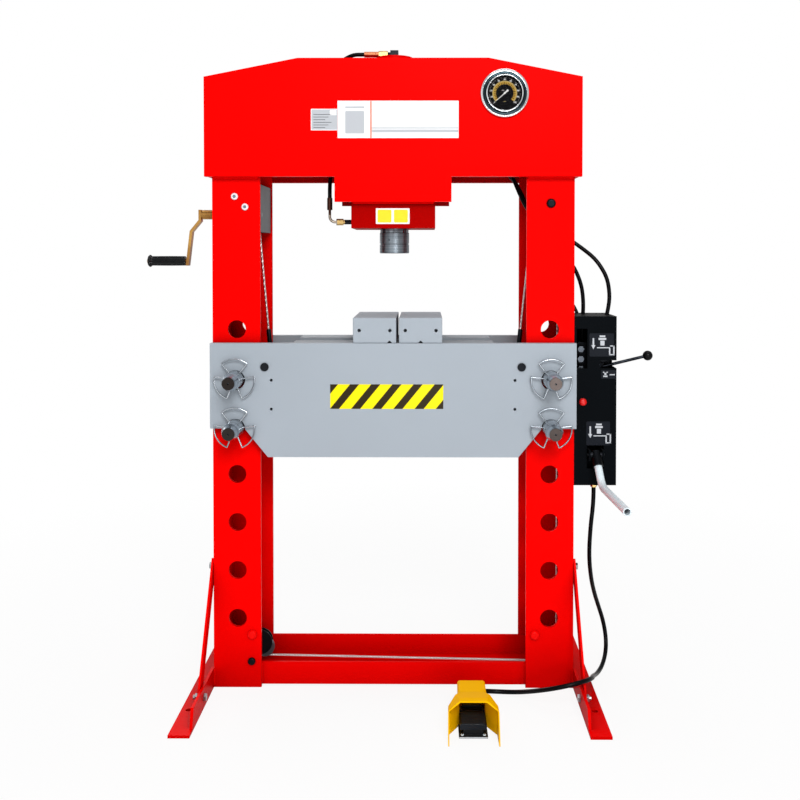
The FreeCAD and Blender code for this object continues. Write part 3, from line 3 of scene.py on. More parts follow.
import bmesh
import bpy
import numpy as np
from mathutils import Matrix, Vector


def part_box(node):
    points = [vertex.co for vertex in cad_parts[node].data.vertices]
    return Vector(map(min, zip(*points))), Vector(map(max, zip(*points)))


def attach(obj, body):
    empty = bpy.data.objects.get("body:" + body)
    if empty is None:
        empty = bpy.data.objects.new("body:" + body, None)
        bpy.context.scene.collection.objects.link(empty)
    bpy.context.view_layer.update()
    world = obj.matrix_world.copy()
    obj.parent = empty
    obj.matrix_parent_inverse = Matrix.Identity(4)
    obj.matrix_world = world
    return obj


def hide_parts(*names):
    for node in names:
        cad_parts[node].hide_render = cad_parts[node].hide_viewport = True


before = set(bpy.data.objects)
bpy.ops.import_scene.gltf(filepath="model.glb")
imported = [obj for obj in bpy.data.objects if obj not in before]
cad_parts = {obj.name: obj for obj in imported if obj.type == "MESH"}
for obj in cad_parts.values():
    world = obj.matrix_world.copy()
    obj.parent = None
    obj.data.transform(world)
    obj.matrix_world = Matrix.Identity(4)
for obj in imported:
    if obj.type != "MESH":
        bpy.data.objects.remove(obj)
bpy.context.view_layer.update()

bpy.context.scene.view_settings.view_transform = "Standard"
MM = 0.001
SHADER = "ShaderNode"


# ---------------------------------------------------------------- camera and light

def aim(thing, place, tilt, turn, roll=0.0):
    """Puts a lamp or the camera at place, looking along +Y, tilted down, turned to +X and rolled, in degrees."""
    thing.location = place
    thing.rotation_euler = (math.radians(90 - tilt), math.radians(roll), math.radians(-turn))
    bpy.context.scene.collection.objects.link(thing)
    return thing


eye = bpy.data.cameras.new("eye")
eye.sensor_width, eye.lens = 36.0, 46.662
eye.shift_x, eye.shift_y = -0.02138, -0.15625
eye.clip_start, eye.clip_end = 0.05, 60.0
bpy.context.scene.camera = aim(bpy.data.objects.new("camera", eye), (0.0875, -3.1127, 1.2663), 1.271, -0.360, -0.014)


def lamp(name, place, target, width, height, power):
    """A rectangular soft lamp at place, facing target, of that size in metres and power in watts."""
    data = bpy.data.lights.new(name, "AREA")
    data.shape, data.size, data.size_y, data.energy = "RECTANGLE", width, height, power
    thing = bpy.data.objects.new(name, data)
    ahead = np.subtract(target, place)
    flat = math.hypot(ahead[0], ahead[1])
    return aim(thing, place, math.degrees(math.atan2(-ahead[2], flat)),
               math.degrees(math.atan2(ahead[0], ahead[1])))


lamp("key", (0.8, -4.6, 3.6), (0.0, 0.0, 1.1), 2.2, 1.6, 184)
lamp("fill", (-2.0, -4.4, 1.9), (0.0, 0.0, 0.9), 2.4, 2.4, 14)
lamp("low", (0.9, -4.4, 0.6), (0.2, 0.0, 0.4), 1.6, 0.8, 29)
lamp("top", (0.2, 0.3, 4.6), (0.2, 0.31, 0.0), 3.2, 2.2, 54)
lamp("back", (-2.2, 4.4, 2.8), (0.0, 0.0, 0.9), 3.0, 2.4, 60)


# ---------------------------------------------------------------- nodes

def linear(red, green, blue):
    """A screen colour, 0 to 255 a channel, as Blender's linear colour."""
    c = np.array([red, green, blue]) / 255
    return (*np.where(c <= 0.04045, c / 12.92, ((c + 0.055) / 1.055) ** 2.4), 1.0)


def add(tree, kind, values=None, **settings):
    """A shader node with its settings; values are its inputs by name or number, each a number, a colour or an output."""
    node = tree.nodes.new(SHADER + kind)
    for name, value in settings.items():
        setattr(node, name, value)
    for name, value in (values or {}).items():
        if isinstance(value, bpy.types.NodeSocket):
            tree.links.new(value, node.inputs[name])
        else:
            node.inputs[name].default_value = value
    return node


def out(tree, kind, values=None, **settings):
    """The first output of a new node."""
    return add(tree, kind, values, **settings).outputs[0]


def maths(tree, operation, a, b=0.0, c=0.0, clamp=False):
    """One step of arithmetic."""
    return out(tree, "Math", {0: a, 1: b, 2: c}, operation=operation, use_clamp=clamp)


def blend(tree, share, a, b, how="MIX"):
    """Colour a where share is 0, and b, or its product with a, where it is 1."""
    node = add(tree, "Mix", data_type="RGBA", blend_type=how)
    for socket, value in ((node.inputs[0], share), (node.inputs[6], a), (node.inputs[7], b)):
        if isinstance(value, bpy.types.NodeSocket):
            tree.links.new(value, socket)
        else:
            socket.default_value = value
    return node.outputs[2]


def place_of(tree, stretch=(1, 1, 1), turn=(0, 0, 0), centre=(0, 0, 0)):
    """Object coordinates in metres, less a centre, stretched and turned."""
    here = out(tree, "VectorMath", {0: add(tree, "TexCoord").outputs["Object"], 1: centre}, operation="SUBTRACT")
    return out(tree, "Mapping", {"Vector": here, "Rotation": turn, "Scale": stretch})


def effect(name, inputs, outputs):
    """An empty node group with number inputs, each with its usual value, and outputs of the kinds given."""
    tree = bpy.data.node_groups.new(name, "ShaderNodeTree")
    for label, value in inputs.items():
        tree.interface.new_socket(label, in_out="INPUT", socket_type="NodeSocketFloat").default_value = value
    for label, kind in outputs.items():
        tree.interface.new_socket(label, in_out="OUTPUT", socket_type="NodeSocket" + kind)
    start, end = tree.nodes.new("NodeGroupInput"), tree.nodes.new("NodeGroupOutput")
    return tree, start.outputs, end.inputs


def use(tree, group, **values):
    """One placing of a group, with its own values."""
    node = tree.nodes.new("ShaderNodeGroup")
    node.node_tree = group
    for label, value in values.items():
        node.inputs[label].default_value = value
    return node.outputs


def make_wear_and_shade():
    """Rounded edges, rubbed edges, settled dust, uneven colour, faint scratches, and painted shade in the hollows of
    any surface.
    """
    tree, given, gives = effect("wear_and_shade", {"Edge": 0.0015, "Unevenness": 3.0, "Corner": 0.03}, {
        "Rounded": "Vector", "Rubbed": "Float", "Dust": "Float", "Uneven": "Float", "Scratch": "Float",
        "Painted shade": "Float"})
    spot = place_of(tree)
    normal = add(tree, "NewGeometry").outputs["Normal"]
    rounded = out(tree, "Bevel", {"Radius": given["Edge"]}, samples=4)
    tree.links.new(rounded, gives["Rounded"])
    fine = out(tree, "TexNoise", {"Vector": spot, "Scale": 55.0, "Detail": 4.0, "Roughness": 0.65})
    turned_away = maths(tree, "SUBTRACT", 1.0, add(tree, "VectorMath", {0: rounded, 1: normal},
                                                   operation="DOT_PRODUCT").outputs["Value"])
    rubbed = maths(tree, "MULTIPLY", maths(tree, "MULTIPLY", turned_away, 5.0, clamp=True),
                   maths(tree, "MULTIPLY_ADD", fine, 4.0, -1.7, clamp=True), clamp=True)
    tree.links.new(rubbed, gives["Rubbed"])
    wide = out(tree, "TexNoise", {"Vector": spot, "Scale": given["Unevenness"], "Detail": 3.0})
    tree.links.new(maths(tree, "MULTIPLY_ADD", wide, 2.4, -0.7, clamp=True), gives["Uneven"])
    up = add(tree, "SeparateXYZ", {0: normal}).outputs["Z"]
    dust = maths(tree, "MULTIPLY", maths(tree, "MULTIPLY_ADD", up, 2.5, -1.4, clamp=True),
                 maths(tree, "MULTIPLY_ADD", wide, 1.6, -0.3, clamp=True), clamp=True)
    tree.links.new(dust, gives["Dust"])
    lines = None
    for turn in (0.4, -0.9):
        grain = out(tree, "TexNoise", {"Vector": place_of(tree, (9, 9, 420), (turn, turn * 0.7, 0.2)),
                                       "Scale": 1.0, "Detail": 1.0})
        line = maths(tree, "MULTIPLY_ADD", grain, 30.0, -22.4, clamp=True)
        lines = line if lines is None else maths(tree, "MAXIMUM", lines, line)
    tree.links.new(maths(tree, "MULTIPLY", lines, maths(tree, "MULTIPLY_ADD", wide, 5.0, -2.6, clamp=True)),
                   gives["Scratch"])
    # Painted shade: hollows, corners and faces near other parts darken, as 1 less the ambient occlusion out to the
    # Corner distance.
    open_sky = add(tree, "AmbientOcclusion", {"Distance": given["Corner"]}, samples=4).outputs["AO"]
    tree.links.new(maths(tree, "SUBTRACT", 1.0, open_sky), gives["Painted shade"])
    return tree


def make_peel():
    """The fine orange peel of sprayed powder: soft bumps of two sizes, as a height from 0 to 1."""
    tree, given, gives = effect("peel", {"Bumps": 420.0}, {"Height": "Float"})
    spot = place_of(tree)
    small = out(tree, "TexNoise", {"Vector": spot, "Scale": given["Bumps"], "Detail": 1.0, "Roughness": 0.4})
    large = out(tree, "TexNoise", {"Vector": spot, "Scale": maths(tree, "MULTIPLY", given["Bumps"], 0.3)})
    tree.links.new(maths(tree, "MULTIPLY_ADD", large, 0.7, small), gives["Height"])
    return tree


def make_lathe_marks():
    """Fine rings or lines across one axis, left by a cutting tool: noise squeezed along the axis asked for."""
    tree, given, gives = effect("lathe_marks", {"Across X": 1.0, "Across Y": 1.0, "Across Z": 1.0},
                                {"Lines": "Float", "Bands": "Float"})
    spot = add(tree, "TexCoord").outputs["Object"]
    scales = out(tree, "CombineXYZ", {0: given[0], 1: given[1], 2: given[2]})
    stretched = out(tree, "VectorMath", {0: spot, 1: scales}, operation="MULTIPLY")
    tree.links.new(out(tree, "TexNoise", {"Vector": stretched, "Scale": 9.0, "Detail": 5.0, "Roughness": 0.75}),
                   gives["Lines"])
    tree.links.new(out(tree, "TexNoise", {"Vector": stretched, "Scale": 1.3, "Detail": 2.0}), gives["Bands"])
    return tree


wear_and_shade, peel, lathe_marks = make_wear_and_shade(), make_peel(), make_lathe_marks()
finishes = {}


def finish(name, specular=0.5):
    """A new material with its tree and its shader; the shader's constant values are set here."""
    material = bpy.data.materials.new(name)
    material.use_nodes = True
    tree = material.node_tree
    tree.nodes.clear()
    shader = add(tree, "BsdfPrincipled", {"Specular IOR Level": specular})
    add(tree, "OutputMaterial", {"Surface": shader.outputs[0]})
    finishes[name] = material
    return tree, shader


def feed(tree, shader, socket, value):
    """Links an output into one of the shader's sockets, or sets its value."""
    if isinstance(value, bpy.types.NodeSocket):
        tree.links.new(value, shader.inputs[socket])
    else:
        shader.inputs[socket].default_value = value


def raised(tree, height, depth, under):
    """A bump of that depth in metres, over the rounded edges."""
    return out(tree, "Bump", {"Height": height, "Distance": depth, "Strength": 1.0, "Normal": under})


def within(tree, axis, low, high, soft=0.0003):
    """1 where the axis's coordinate lies between two values in metres, and 0 elsewhere."""
    value = add(tree, "SeparateXYZ", {0: add(tree, "TexCoord").outputs["Object"]}).outputs[axis]
    above = maths(tree, "MULTIPLY_ADD", value, 1 / soft, -low / soft, clamp=True)
    below = maths(tree, "MULTIPLY_ADD", value, -1 / soft, high / soft, clamp=True)
    return maths(tree, "MULTIPLY", above, below)


def patched(tree, base, patches):
    """The colour with other colours laid over it inside boxes, and the share of the surface that is bare metal."""
    bare = 1.0
    for ranges, colour, is_metal in patches:
        inside = 1.0
        for axis, (low, high) in ranges.items():
            inside = maths(tree, "MULTIPLY", inside, within(tree, axis, low, high))
        base = blend(tree, inside, base, linear(*colour))
        if not is_metal:
            bare = maths(tree, "SUBTRACT", bare, inside, clamp=True)
    return base, bare


def painted(name, colour, rubbed, roughness, bumps=420.0, depth=0.00006, specular=0.25, dust=0.10, uneven=0.06,
            edge=0.0015, worn=0.35, crease=0.35, corner=0.03, shade=None, patches=()):
    """Sprayed paint: its colour uneven, paler at rubbed edges, dusty on top, painted shade in hollows, with orange
    peel.

    Where shade is given its colour stands in for the plain one; patches lay other colours over it inside boxes."""
    tree, shader = finish(name, specular)
    wear_and_shade_marks = use(tree, wear_and_shade, Edge=edge, Corner=corner)
    base = shade(tree) if shade else linear(*colour)
    dark = blend(tree, 1.0, base, (*(1 - uneven,) * 3, 1), "MULTIPLY")
    base = blend(tree, wear_and_shade_marks["Uneven"], base, dark)
    # Painted shade: the colour darkens towards a third of itself in hollows, by crease, out to corner metres.
    base = blend(tree, maths(tree, "MULTIPLY", wear_and_shade_marks["Painted shade"], crease), base, linear(*(c * 0.35 for c in colour)))
    base = blend(tree, maths(tree, "MULTIPLY", wear_and_shade_marks["Dust"], dust), base, linear(176, 172, 166))
    base = blend(tree, maths(tree, "MULTIPLY", wear_and_shade_marks["Rubbed"], worn), base, linear(*rubbed))
    feed(tree, shader, "Base Color", patched(tree, base, patches)[0])
    rough = maths(tree, "MULTIPLY_ADD", wear_and_shade_marks["Uneven"], 0.08, roughness - 0.04)
    rough = maths(tree, "MULTIPLY_ADD", wear_and_shade_marks["Dust"], dust, rough)
    feed(tree, shader, "Roughness", maths(tree, "MULTIPLY_ADD", wear_and_shade_marks["Scratch"], 0.12, rough, clamp=True))
    feed(tree, shader, "Normal", raised(tree, use(tree, peel, Bumps=bumps)["Height"], depth, wear_and_shade_marks["Rounded"]))
    return finishes[name]


def metal(name, light, dark, roughness, across=(1, 1, 1), depth=0.00002, edge=0.0006, stain=None, stain_share=0.0,
          specular=0.5, shade=None, lay=None, patches=()):
    """Bare or plated metal: two tones in fine tool lines across an axis, brighter where rubbed, unevenly stained,
    painted shade in hollows.

    Where shade is given it makes up most of the colour, and lay stands in for the tool lines' relief; patches lay
    other colours over it inside boxes."""
    tree, shader = finish(name, specular)
    wear_and_shade_marks = use(tree, wear_and_shade, Edge=edge, Unevenness=14.0, Corner=0.02)
    marks = use(tree, lathe_marks, **dict(zip(("Across X", "Across Y", "Across Z"), map(float, across))))
    tone = maths(tree, "MULTIPLY_ADD", marks["Bands"], 2.2, -0.6, clamp=True)
    base = blend(tree, tone, linear(*dark), linear(*light))
    if shade:
        base = blend(tree, 0.8, base, shade(tree))
    if stain:
        base = blend(tree, maths(tree, "MULTIPLY", wear_and_shade_marks["Uneven"], stain_share), base, linear(*stain))
    # Painted shade: hollows within 0.02 m darken towards a third of the dark tone.
    base = blend(tree, maths(tree, "MULTIPLY", wear_and_shade_marks["Painted shade"], 0.6), base, linear(*(c * 0.3 for c in dark)))
    base = blend(tree, maths(tree, "MULTIPLY", wear_and_shade_marks["Rubbed"], 0.5), base, linear(225, 228, 232))
    base, bare = patched(tree, base, patches)
    feed(tree, shader, "Base Color", base)
    feed(tree, shader, "Metallic", bare)
    feed(tree, shader, "Roughness", maths(tree, "MULTIPLY_ADD", marks["Lines"], 0.16, roughness - 0.08, clamp=True))
    feed(tree, shader, "Normal", lay(tree) if lay else raised(tree, marks["Lines"], depth, wear_and_shade_marks["Rounded"]))
    return finishes[name]


def moulded(name, colour, roughness, bumps=900.0, depth=0.00004, specular=0.4, worn=0.15, dust=0.12):
    """Moulded rubber or plastic: a fine matt grain, greyer at the edges and on top, with a little painted shade in
    hollows.
    """
    return painted(name, colour, [min(255, c + 60) for c in colour], roughness, bumps, depth, specular, dust=dust,
                   uneven=0.12, edge=0.0008, worn=worn, crease=0.2)


def printed(name, colour, rubbed, roughness=0.3, **more):
    """Printed or glued film: nearly smooth, with sharp edges and no painted shade in its corners."""
    return painted(name, colour, rubbed, roughness,
                   **{"bumps": 1500.0, "depth": 0.00001, "edge": 0.0002, "crease": 0.0, **more})


tape_origin = (-0.1677, 0, 0.8171)
tape_pitch, tape_slant, tape_dark_half = 0.0606, -0.82, 0.216


def stripes(tree):
    """The tape's slanting bars: x less a share of z, counted in pitches, dark over part of each.

    The 50.5 keeps the count above zero and puts the middle of a dark bar at the tape's origin."""
    split = add(tree, "SeparateXYZ", {0: place_of(tree, centre=tape_origin)}).outputs
    slant = maths(tree, "MULTIPLY_ADD", split["Z"], tape_slant, split["X"])
    turn = maths(tree, "FRACT", maths(tree, "MULTIPLY_ADD", slant, 1 / tape_pitch, 50.5))
    dark = maths(tree, "LESS_THAN", maths(tree, "ABSOLUTE", maths(tree, "SUBTRACT", turn, 0.5)), tape_dark_half)
    return blend(tree, dark, linear(250, 232, 8), linear(46, 36, 14))


def ramp(tree, share, stops):
    """Colours one after another along a share from 0 to 1, each at its own place."""
    node = add(tree, "ValToRGB", {0: share})
    while len(node.color_ramp.elements) < len(stops):
        node.color_ramp.elements.new(0.5)
    for element, (place, colour) in zip(node.color_ramp.elements, stops):
        element.position, element.color = place, linear(*colour)
    return node.outputs[0]


def turned_rings(tree):
    """The rings that a turning tool leaves round an upright part: tones by height, from dark to pale."""
    lines = use(tree, lathe_marks, **{"Across X": 0.0, "Across Y": 0.0, "Across Z": 70.0})["Lines"]
    return ramp(tree, lines, [(0.36, (70, 78, 86)), (0.5, (128, 138, 146)), (0.62, (196, 204, 212))])


def rope_lay(tree):
    """The relief of a wire rope's strands: slanting bands a few millimetres apart, as seen from any side."""
    bands = out(tree, "TexWave", {"Vector": place_of(tree, (150, 150, 90)), "Scale": 0.5, "Distortion": 0.4},
                bands_direction="DIAGONAL")
    return out(tree, "Bump", {"Height": bands, "Distance": 0.0008, "Strength": 1.0})


# The frame's red, with strong painted shade out to 0.2 m in its hollows, such as the columns' inner faces.
painted("red_enamel", (252, 1, 0), (255, 64, 50), 0.38, specular=0.015, uneven=0.06, dust=0.0, worn=0.2, crease=0.85,
        corner=0.2)
# A shaded copy of the frame's red for the head's rear plate and webs: full painted shade out to 0.45 m inside the head.
painted("red_enamel_shaded", (252, 1, 0), (255, 64, 50), 0.38, specular=0.015, uneven=0.06, dust=0.0, worn=0.2, crease=1.0,
        corner=0.45)
# The collar's red, darker than the frame's, is painted shade under the head's neck, with full painted shade in hollows.
painted("collar_red_shaded", (172, 1, 0), (222, 60, 50), 0.4, specular=0.01, uneven=0.08, dust=0.0, worn=0.1, crease=1.0,
        corner=0.09)
painted("table_enamel", (163, 172, 181), (214, 218, 222), 0.44, bumps=380.0, specular=0.16, uneven=0.045, dust=0.05)
# A shaded copy of the table's grey for its rear plate and cross bars, with painted shade out to 0.2 m.
painted("table_enamel_shaded", (160, 168, 175), (190, 194, 198), 0.5, bumps=380.0, specular=0.1, uneven=0.06, dust=0.03,
        crease=0.5, corner=0.2)
painted("black_enamel", (3, 6, 10), (50, 54, 60), 0.45, bumps=520.0, specular=0.03, dust=0.03, uneven=0.1, worn=0.2)
painted("amber_enamel", (255, 192, 0), (255, 220, 96), 0.36, specular=0.012, crease=0.0, uneven=0.03, dust=0.0,
        worn=0.2)
printed("hazard_film", (250, 232, 8), (255, 246, 160), 0.30, specular=0.12, dust=0.0, uneven=0.02, shade=stripes)
printed("white_film", (240, 241, 242), (255, 255, 255), 0.28, dust=0.0, uneven=0.02)
printed("orange_film", (226, 96, 36), (240, 150, 110))
printed("yellow_film", (246, 222, 40), (252, 240, 150))
printed("grey_film", (186, 190, 196), (214, 216, 220))
printed("black_film", (16, 19, 24), (70, 74, 80))
printed("dark_grey_film", (18, 22, 30), (70, 74, 82), 0.34, specular=0.06)
printed("scale_yellow", (215, 168, 50), (230, 190, 90), 0.45, edge=0.0001)
printed("scale_cream", (222, 196, 124), (240, 226, 180), 0.45, edge=0.0001)
printed("dial_black", (3, 4, 7), (30, 32, 38), 0.55, specular=0.03, dust=0.0)
printed("needle_white", (240, 240, 238), (255, 255, 255), 0.35, crease=0.1)
moulded("hose_rubber", (4, 5, 8), 0.3, bumps=700.0, specular=0.09, worn=0.05, dust=0.0)
moulded("seal_rubber", (18, 18, 20), 0.55)
moulded("grip_plastic", (4, 6, 9), 0.2, specular=0.2, worn=0.05, dust=0.0)
# Painted shade: the grey-blue of the winch bolts' sockets, laid on flat hexagons in place of shaded recesses.
painted("socket_painted_shade", (112, 128, 138), (150, 160, 168), 0.4, specular=0.1, crease=0.5)
painted("base_plastic", (8, 9, 12), (50, 52, 58), 0.42, bumps=900.0, depth=0.00004, specular=0.2, dust=0.05, edge=0.0008,
        worn=0.15, crease=0.2, patches=[({"Y": (-0.4405, -0.4392), "Z": (0.0006, 0.0036)}, (190, 194, 200), True)])
moulded("pad_rubber", (7, 10, 15), 0.5, bumps=500.0, specular=0.2, dust=0.04)
moulded("cap_red", (222, 14, 12), 0.3, specular=0.3)
metal("ground_steel", (160, 166, 172), (104, 110, 118), 0.16, (2, 2, 60), depth=0.00001)
metal("turned_steel", (150, 158, 166), (58, 64, 72), 0.30, (2, 2, 90), depth=0.00004)
metal("head_steel", (128, 136, 144), (44, 49, 56), 0.33, (3, 3, 90), depth=0.00004, shade=turned_rings)
metal("cast_steel", (120, 124, 130), (72, 76, 82), 0.42, (8, 8, 8), depth=0.00006)
# Patches: red paint on two round heads at Z 0.13 to 0.18; the winch's bolt heads at Z 1.38 to 1.44 painted pale,
# non-metal, as a painted highlight.
metal("zinc_plate", (198, 203, 208), (136, 142, 148), 0.30, (5, 5, 5), stain=(168, 160, 138), stain_share=0.18,
      specular=0.06,
      patches=[({"Z": (0.13, 0.18)}, (240, 6, 4), False), ({"Z": (1.38, 1.44)}, (236, 232, 236), False)])
metal("gold_fittings", (236, 206, 140), (196, 152, 84), 0.32, (7, 7, 7), patches=[
    ({"X": (-0.020, 0.020), "Z": (1.80, 1.90)}, (26, 28, 30), True),
    ({"X": (-0.100, -0.046), "Z": (1.80, 1.90)}, (172, 106, 74), True),
    ({"X": (-0.149, -0.070), "Z": (1.30, 1.37)}, (30, 30, 34), True),
    ({"X": (-0.250, -0.171), "Z": (1.30, 1.377)}, (170, 160, 146), True),
    ({"X": (-0.250, -0.171), "Z": (1.377, 1.45)}, (72, 46, 38), True),
    ({"X": (0.53, 0.556), "Z": (0.90, 1.0)}, (66, 70, 76), True)])
metal("grey_zinc", (128, 129, 132), (104, 105, 109), 0.48, (3, 3, 3), depth=0.00003)
metal("lever_steel", (44, 47, 53), (16, 18, 22), 0.3, (40, 2, 2), specular=0.12,
      patches=[({"X": (0.7272, 0.80)}, (7, 7, 9), False)])
painted("handle_zinc", (224, 236, 242), (246, 248, 250), 0.3, bumps=260.0, depth=0.00003, specular=0.5, uneven=0.05,
        dust=0.02, worn=0.3, crease=0.3)
metal("pin_chrome", (206, 212, 218), (110, 118, 126), 0.2, (3, 60, 3),
      patches=[({"Y": (-0.30, -0.2630)}, (58, 52, 50), True)])
metal("bezel_chrome", (232, 236, 238), (206, 212, 216), 0.09, (2, 20, 2), depth=0.000002)
metal("bezel_smoke", (40, 54, 60), (14, 22, 28), 0.14, (2, 20, 2), depth=0.000002)
metal("gold_passivate", (226, 182, 100), (126, 78, 34), 0.30, (7, 7, 7), stain=(100, 42, 26), stain_share=0.75)
metal("black_oxide", (40, 42, 46), (17, 18, 21), 0.40, (5, 5, 5))
metal("treadle_plate", (44, 47, 52), (20, 22, 26), 0.36, (5, 5, 5),
      patches=[({"Y": (-0.4365, -0.4345), "Z": (0.0350, 0.0385)}, (206, 210, 216), True)])
metal("rope_wire", (240, 232, 232), (172, 160, 160), 0.32, (1, 1, 1), lay=rope_lay)

# The plain roughness stays under the link, for a reader that follows no links.
tree, shader = finish("lens")
for socket, value in {"Base Color": (0.01, 0.01, 0.01, 1), "Roughness": 0.03, "Alpha": 0.08}.items():
    feed(tree, shader, socket, value)
feed(tree, shader, "Roughness", maths(tree, "MULTIPLY_ADD", use(tree, wear_and_shade)["Uneven"], 0.04, 0.02))

dressed = {
    "red_enamel": "left_column right_column head_front_plate head_end_plates front_tie rear_tie left_foot right_foot "
                  "braces cylinder_barrel cylinder_cap",
    "red_enamel_shaded": "head_rear_plate head_webs",
    "collar_red_shaded": "cylinder_collar",
    "table_enamel": "table_front_plate press_block_left press_block_right",
    "table_enamel_shaded": "table_rear_plate table_cross_bars",
    "black_enamel": "control_box pump_unit",
    "amber_enamel": "pedal_guard",
    "grey_zinc": "winch_housing",
    "ground_steel": "ram_rod piston",
    "head_steel": "press_head",
    "turned_steel": "cylinder_gland winch_worm winch_drum",
    "cast_steel": "lower_left_pulley lower_right_pulley upper_right_pulley",
    "black_oxide": "pulley_axles table_rope_ends pump_socket release_valve",
    "zinc_plate": "frame_bolts",
    "gold_fittings": "port_fittings",
    "treadle_plate": "pedal_treadle",
    "lever_steel": "release_lever",
    "handle_zinc": "pump_handle",
    "pin_chrome": "pin_left_lower pin_left_upper pin_right_lower pin_right_upper",
    "gold_passivate": "crank_arm",
    "hose_rubber": "top_hose lower_hose gauge_hose pedal_hose",
    "seal_rubber": "piston_seal",
    "rope_wire": "lifting_rope_left lifting_rope_right",
    "grip_plastic": "crank_grip",
    "base_plastic": "pedal_base",
    "cap_red": "oil_cap",
    "dial_black": "gauge_dial gauge_case",
    "needle_white": "gauge_needle",
    "lens": "gauge_glass",
}
for coat, names in dressed.items():
    for node in names.split():
        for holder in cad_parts[node].material_slots:
            holder.material = finishes[coat]


# ---------------------------------------------------------------- floor and sky

sky_on_things, sky_in_mirrors = 0.26, 0.4


def seen_rays(tree):
    """1 for what the camera or a glass shows, less in a mirror, and 0 for the light that falls on things."""
    path = add(tree, "LightPath").outputs
    shown = maths(tree, "MULTIPLY_ADD", path["Is Glossy Ray"], sky_in_mirrors, path["Is Camera Ray"], clamp=True)
    return maths(tree, "MAXIMUM", shown, path["Is Transmission Ray"])


sky = bpy.data.worlds.new("sky")
bpy.context.scene.world = sky
sky.use_nodes = True
sky.node_tree.nodes.clear()
dim = add(sky.node_tree, "Background", {"Color": (1, 1, 1, 1), "Strength": sky_on_things})
white = add(sky.node_tree, "Background", {"Color": (1, 1, 1, 1), "Strength": 1.0})
mix = add(sky.node_tree, "MixShader", {0: seen_rays(sky.node_tree), 1: dim.outputs[0], 2: white.outputs[0]})
add(sky.node_tree, "OutputWorld", {"Surface": mix.outputs[0]})

floor_finish = bpy.data.materials.new("pale_floor")
floor_finish.use_nodes = True
tree = floor_finish.node_tree
tree.nodes.clear()
pale = add(tree, "BsdfDiffuse", {"Color": (0.88, 0.88, 0.88, 1)})
glow = add(tree, "Emission", {"Color": (1, 1, 1, 1), "Strength": 1.0})
far = add(tree, "VectorMath", {0: add(tree, "TexCoord").outputs["Object"]}, operation="LENGTH").outputs["Value"]
share = maths(tree, "MULTIPLY", seen_rays(tree), maths(tree, "MULTIPLY_ADD", far, 0.05, 0.87, clamp=True))
mix = add(tree, "MixShader", {0: share, 1: pale.outputs[0], 2: glow.outputs[0]})
add(tree, "OutputMaterial", {"Surface": mix.outputs[0]})
floor_mesh = bpy.data.meshes.new("floor")
floor_reach, floor_level = 15, -0.0004
floor_mesh.from_pydata([(x * floor_reach, y * floor_reach, floor_level)
                        for x, y in ((-1, -1), (1, -1), (1, 1), (-1, 1))], [], [(0, 1, 2, 3)])
floor_mesh.materials.append(floor_finish)
floor = bpy.data.objects.new("floor", floor_mesh)
bpy.context.scene.collection.objects.link(floor)


# ---------------------------------------------------------------- surfaces

def grid(rows, columns, first=0, wrap_rows=False, wrap_columns=False):
    """Corner numbers of the quads between the points of a rows by columns grid, joined round where it wraps."""
    number = first + np.arange(rows * columns).reshape(rows, columns)
    if wrap_rows:
        number = np.vstack([number, number[:1]])
    if wrap_columns:
        number = np.hstack([number, number[:, :1]])
    corners = number[:-1, :-1], number[:-1, 1:], number[1:, 1:], number[1:, :-1]
    return np.stack(corners, -1).reshape(-1, 4)


def piece(name, points, faces, body, coats, coat_of=None, smooth=True):
    """A mesh piece from points in metres and faces, its doubles merged and its faces turned out; rides on a body."""
    mesh = bpy.data.meshes.new(name)
    mesh.from_pydata(np.asarray(points, float).tolist(), [], [list(map(int, f)) for f in faces])
    for coat in coats:
        mesh.materials.append(finishes[coat])
    if coat_of is not None:
        mesh.polygons.foreach_set("material_index", np.asarray(coat_of, np.int32))
    shape = bmesh.new()
    shape.from_mesh(mesh)
    bmesh.ops.remove_doubles(shape, verts=shape.verts, dist=1e-6)
    bmesh.ops.dissolve_degenerate(shape, dist=1e-7, edges=shape.edges)
    bmesh.ops.recalc_face_normals(shape, faces=shape.faces)
    shape.to_mesh(mesh)
    shape.free()
    thing = bpy.data.objects.new(name, mesh)
    bpy.context.scene.collection.objects.link(thing)
    if smooth:
        mesh.shade_smooth()
        mesh.set_sharp_from_angle(angle=math.radians(32))
    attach(thing, body)
    return thing


def joined(parts):
    """Several (points, faces, coat) lists as one: points, faces and the coat of each face."""
    points, faces, coats, count = [], [], [], 0
    for some, rows, coat in parts:
        points.append(np.asarray(some, float))
        faces += [tuple(int(i) + count for i in row) for row in rows]
        coats += [coat] * len(rows)
        count += len(some)
    return np.vstack(points), faces, coats


def turned(profile, centre, axis, sides=72, closed=False, flutes=0, flute_depth=0.0):
    """A profile of (radius, distance) carried round an axis: centre + distance along it + radius (cos t u + sin t v)."""
    axis = np.asarray(axis, float)
    side = np.cross(axis, (0.0, 0.0, 1.0) if abs(axis[2]) < 0.9 else (1.0, 0.0, 0.0))
    side /= np.linalg.norm(side)
    other = np.cross(axis, side)
    angle = np.arange(sides) * 2 * math.pi / sides
    radius, reach = np.asarray(profile, float).T
    ripple = 1 - flute_depth * (0.5 - 0.5 * np.cos(flutes * angle)) if flutes else np.ones(sides)
    spoke = np.cos(angle)[:, None] * side + np.sin(angle)[:, None] * other
    points = (np.asarray(centre) + reach[:, None, None] * axis
              + radius[:, None, None] * ripple[None, :, None] * spoke[None])
    return points.reshape(-1, 3), grid(len(radius), sides, 0, closed, True)


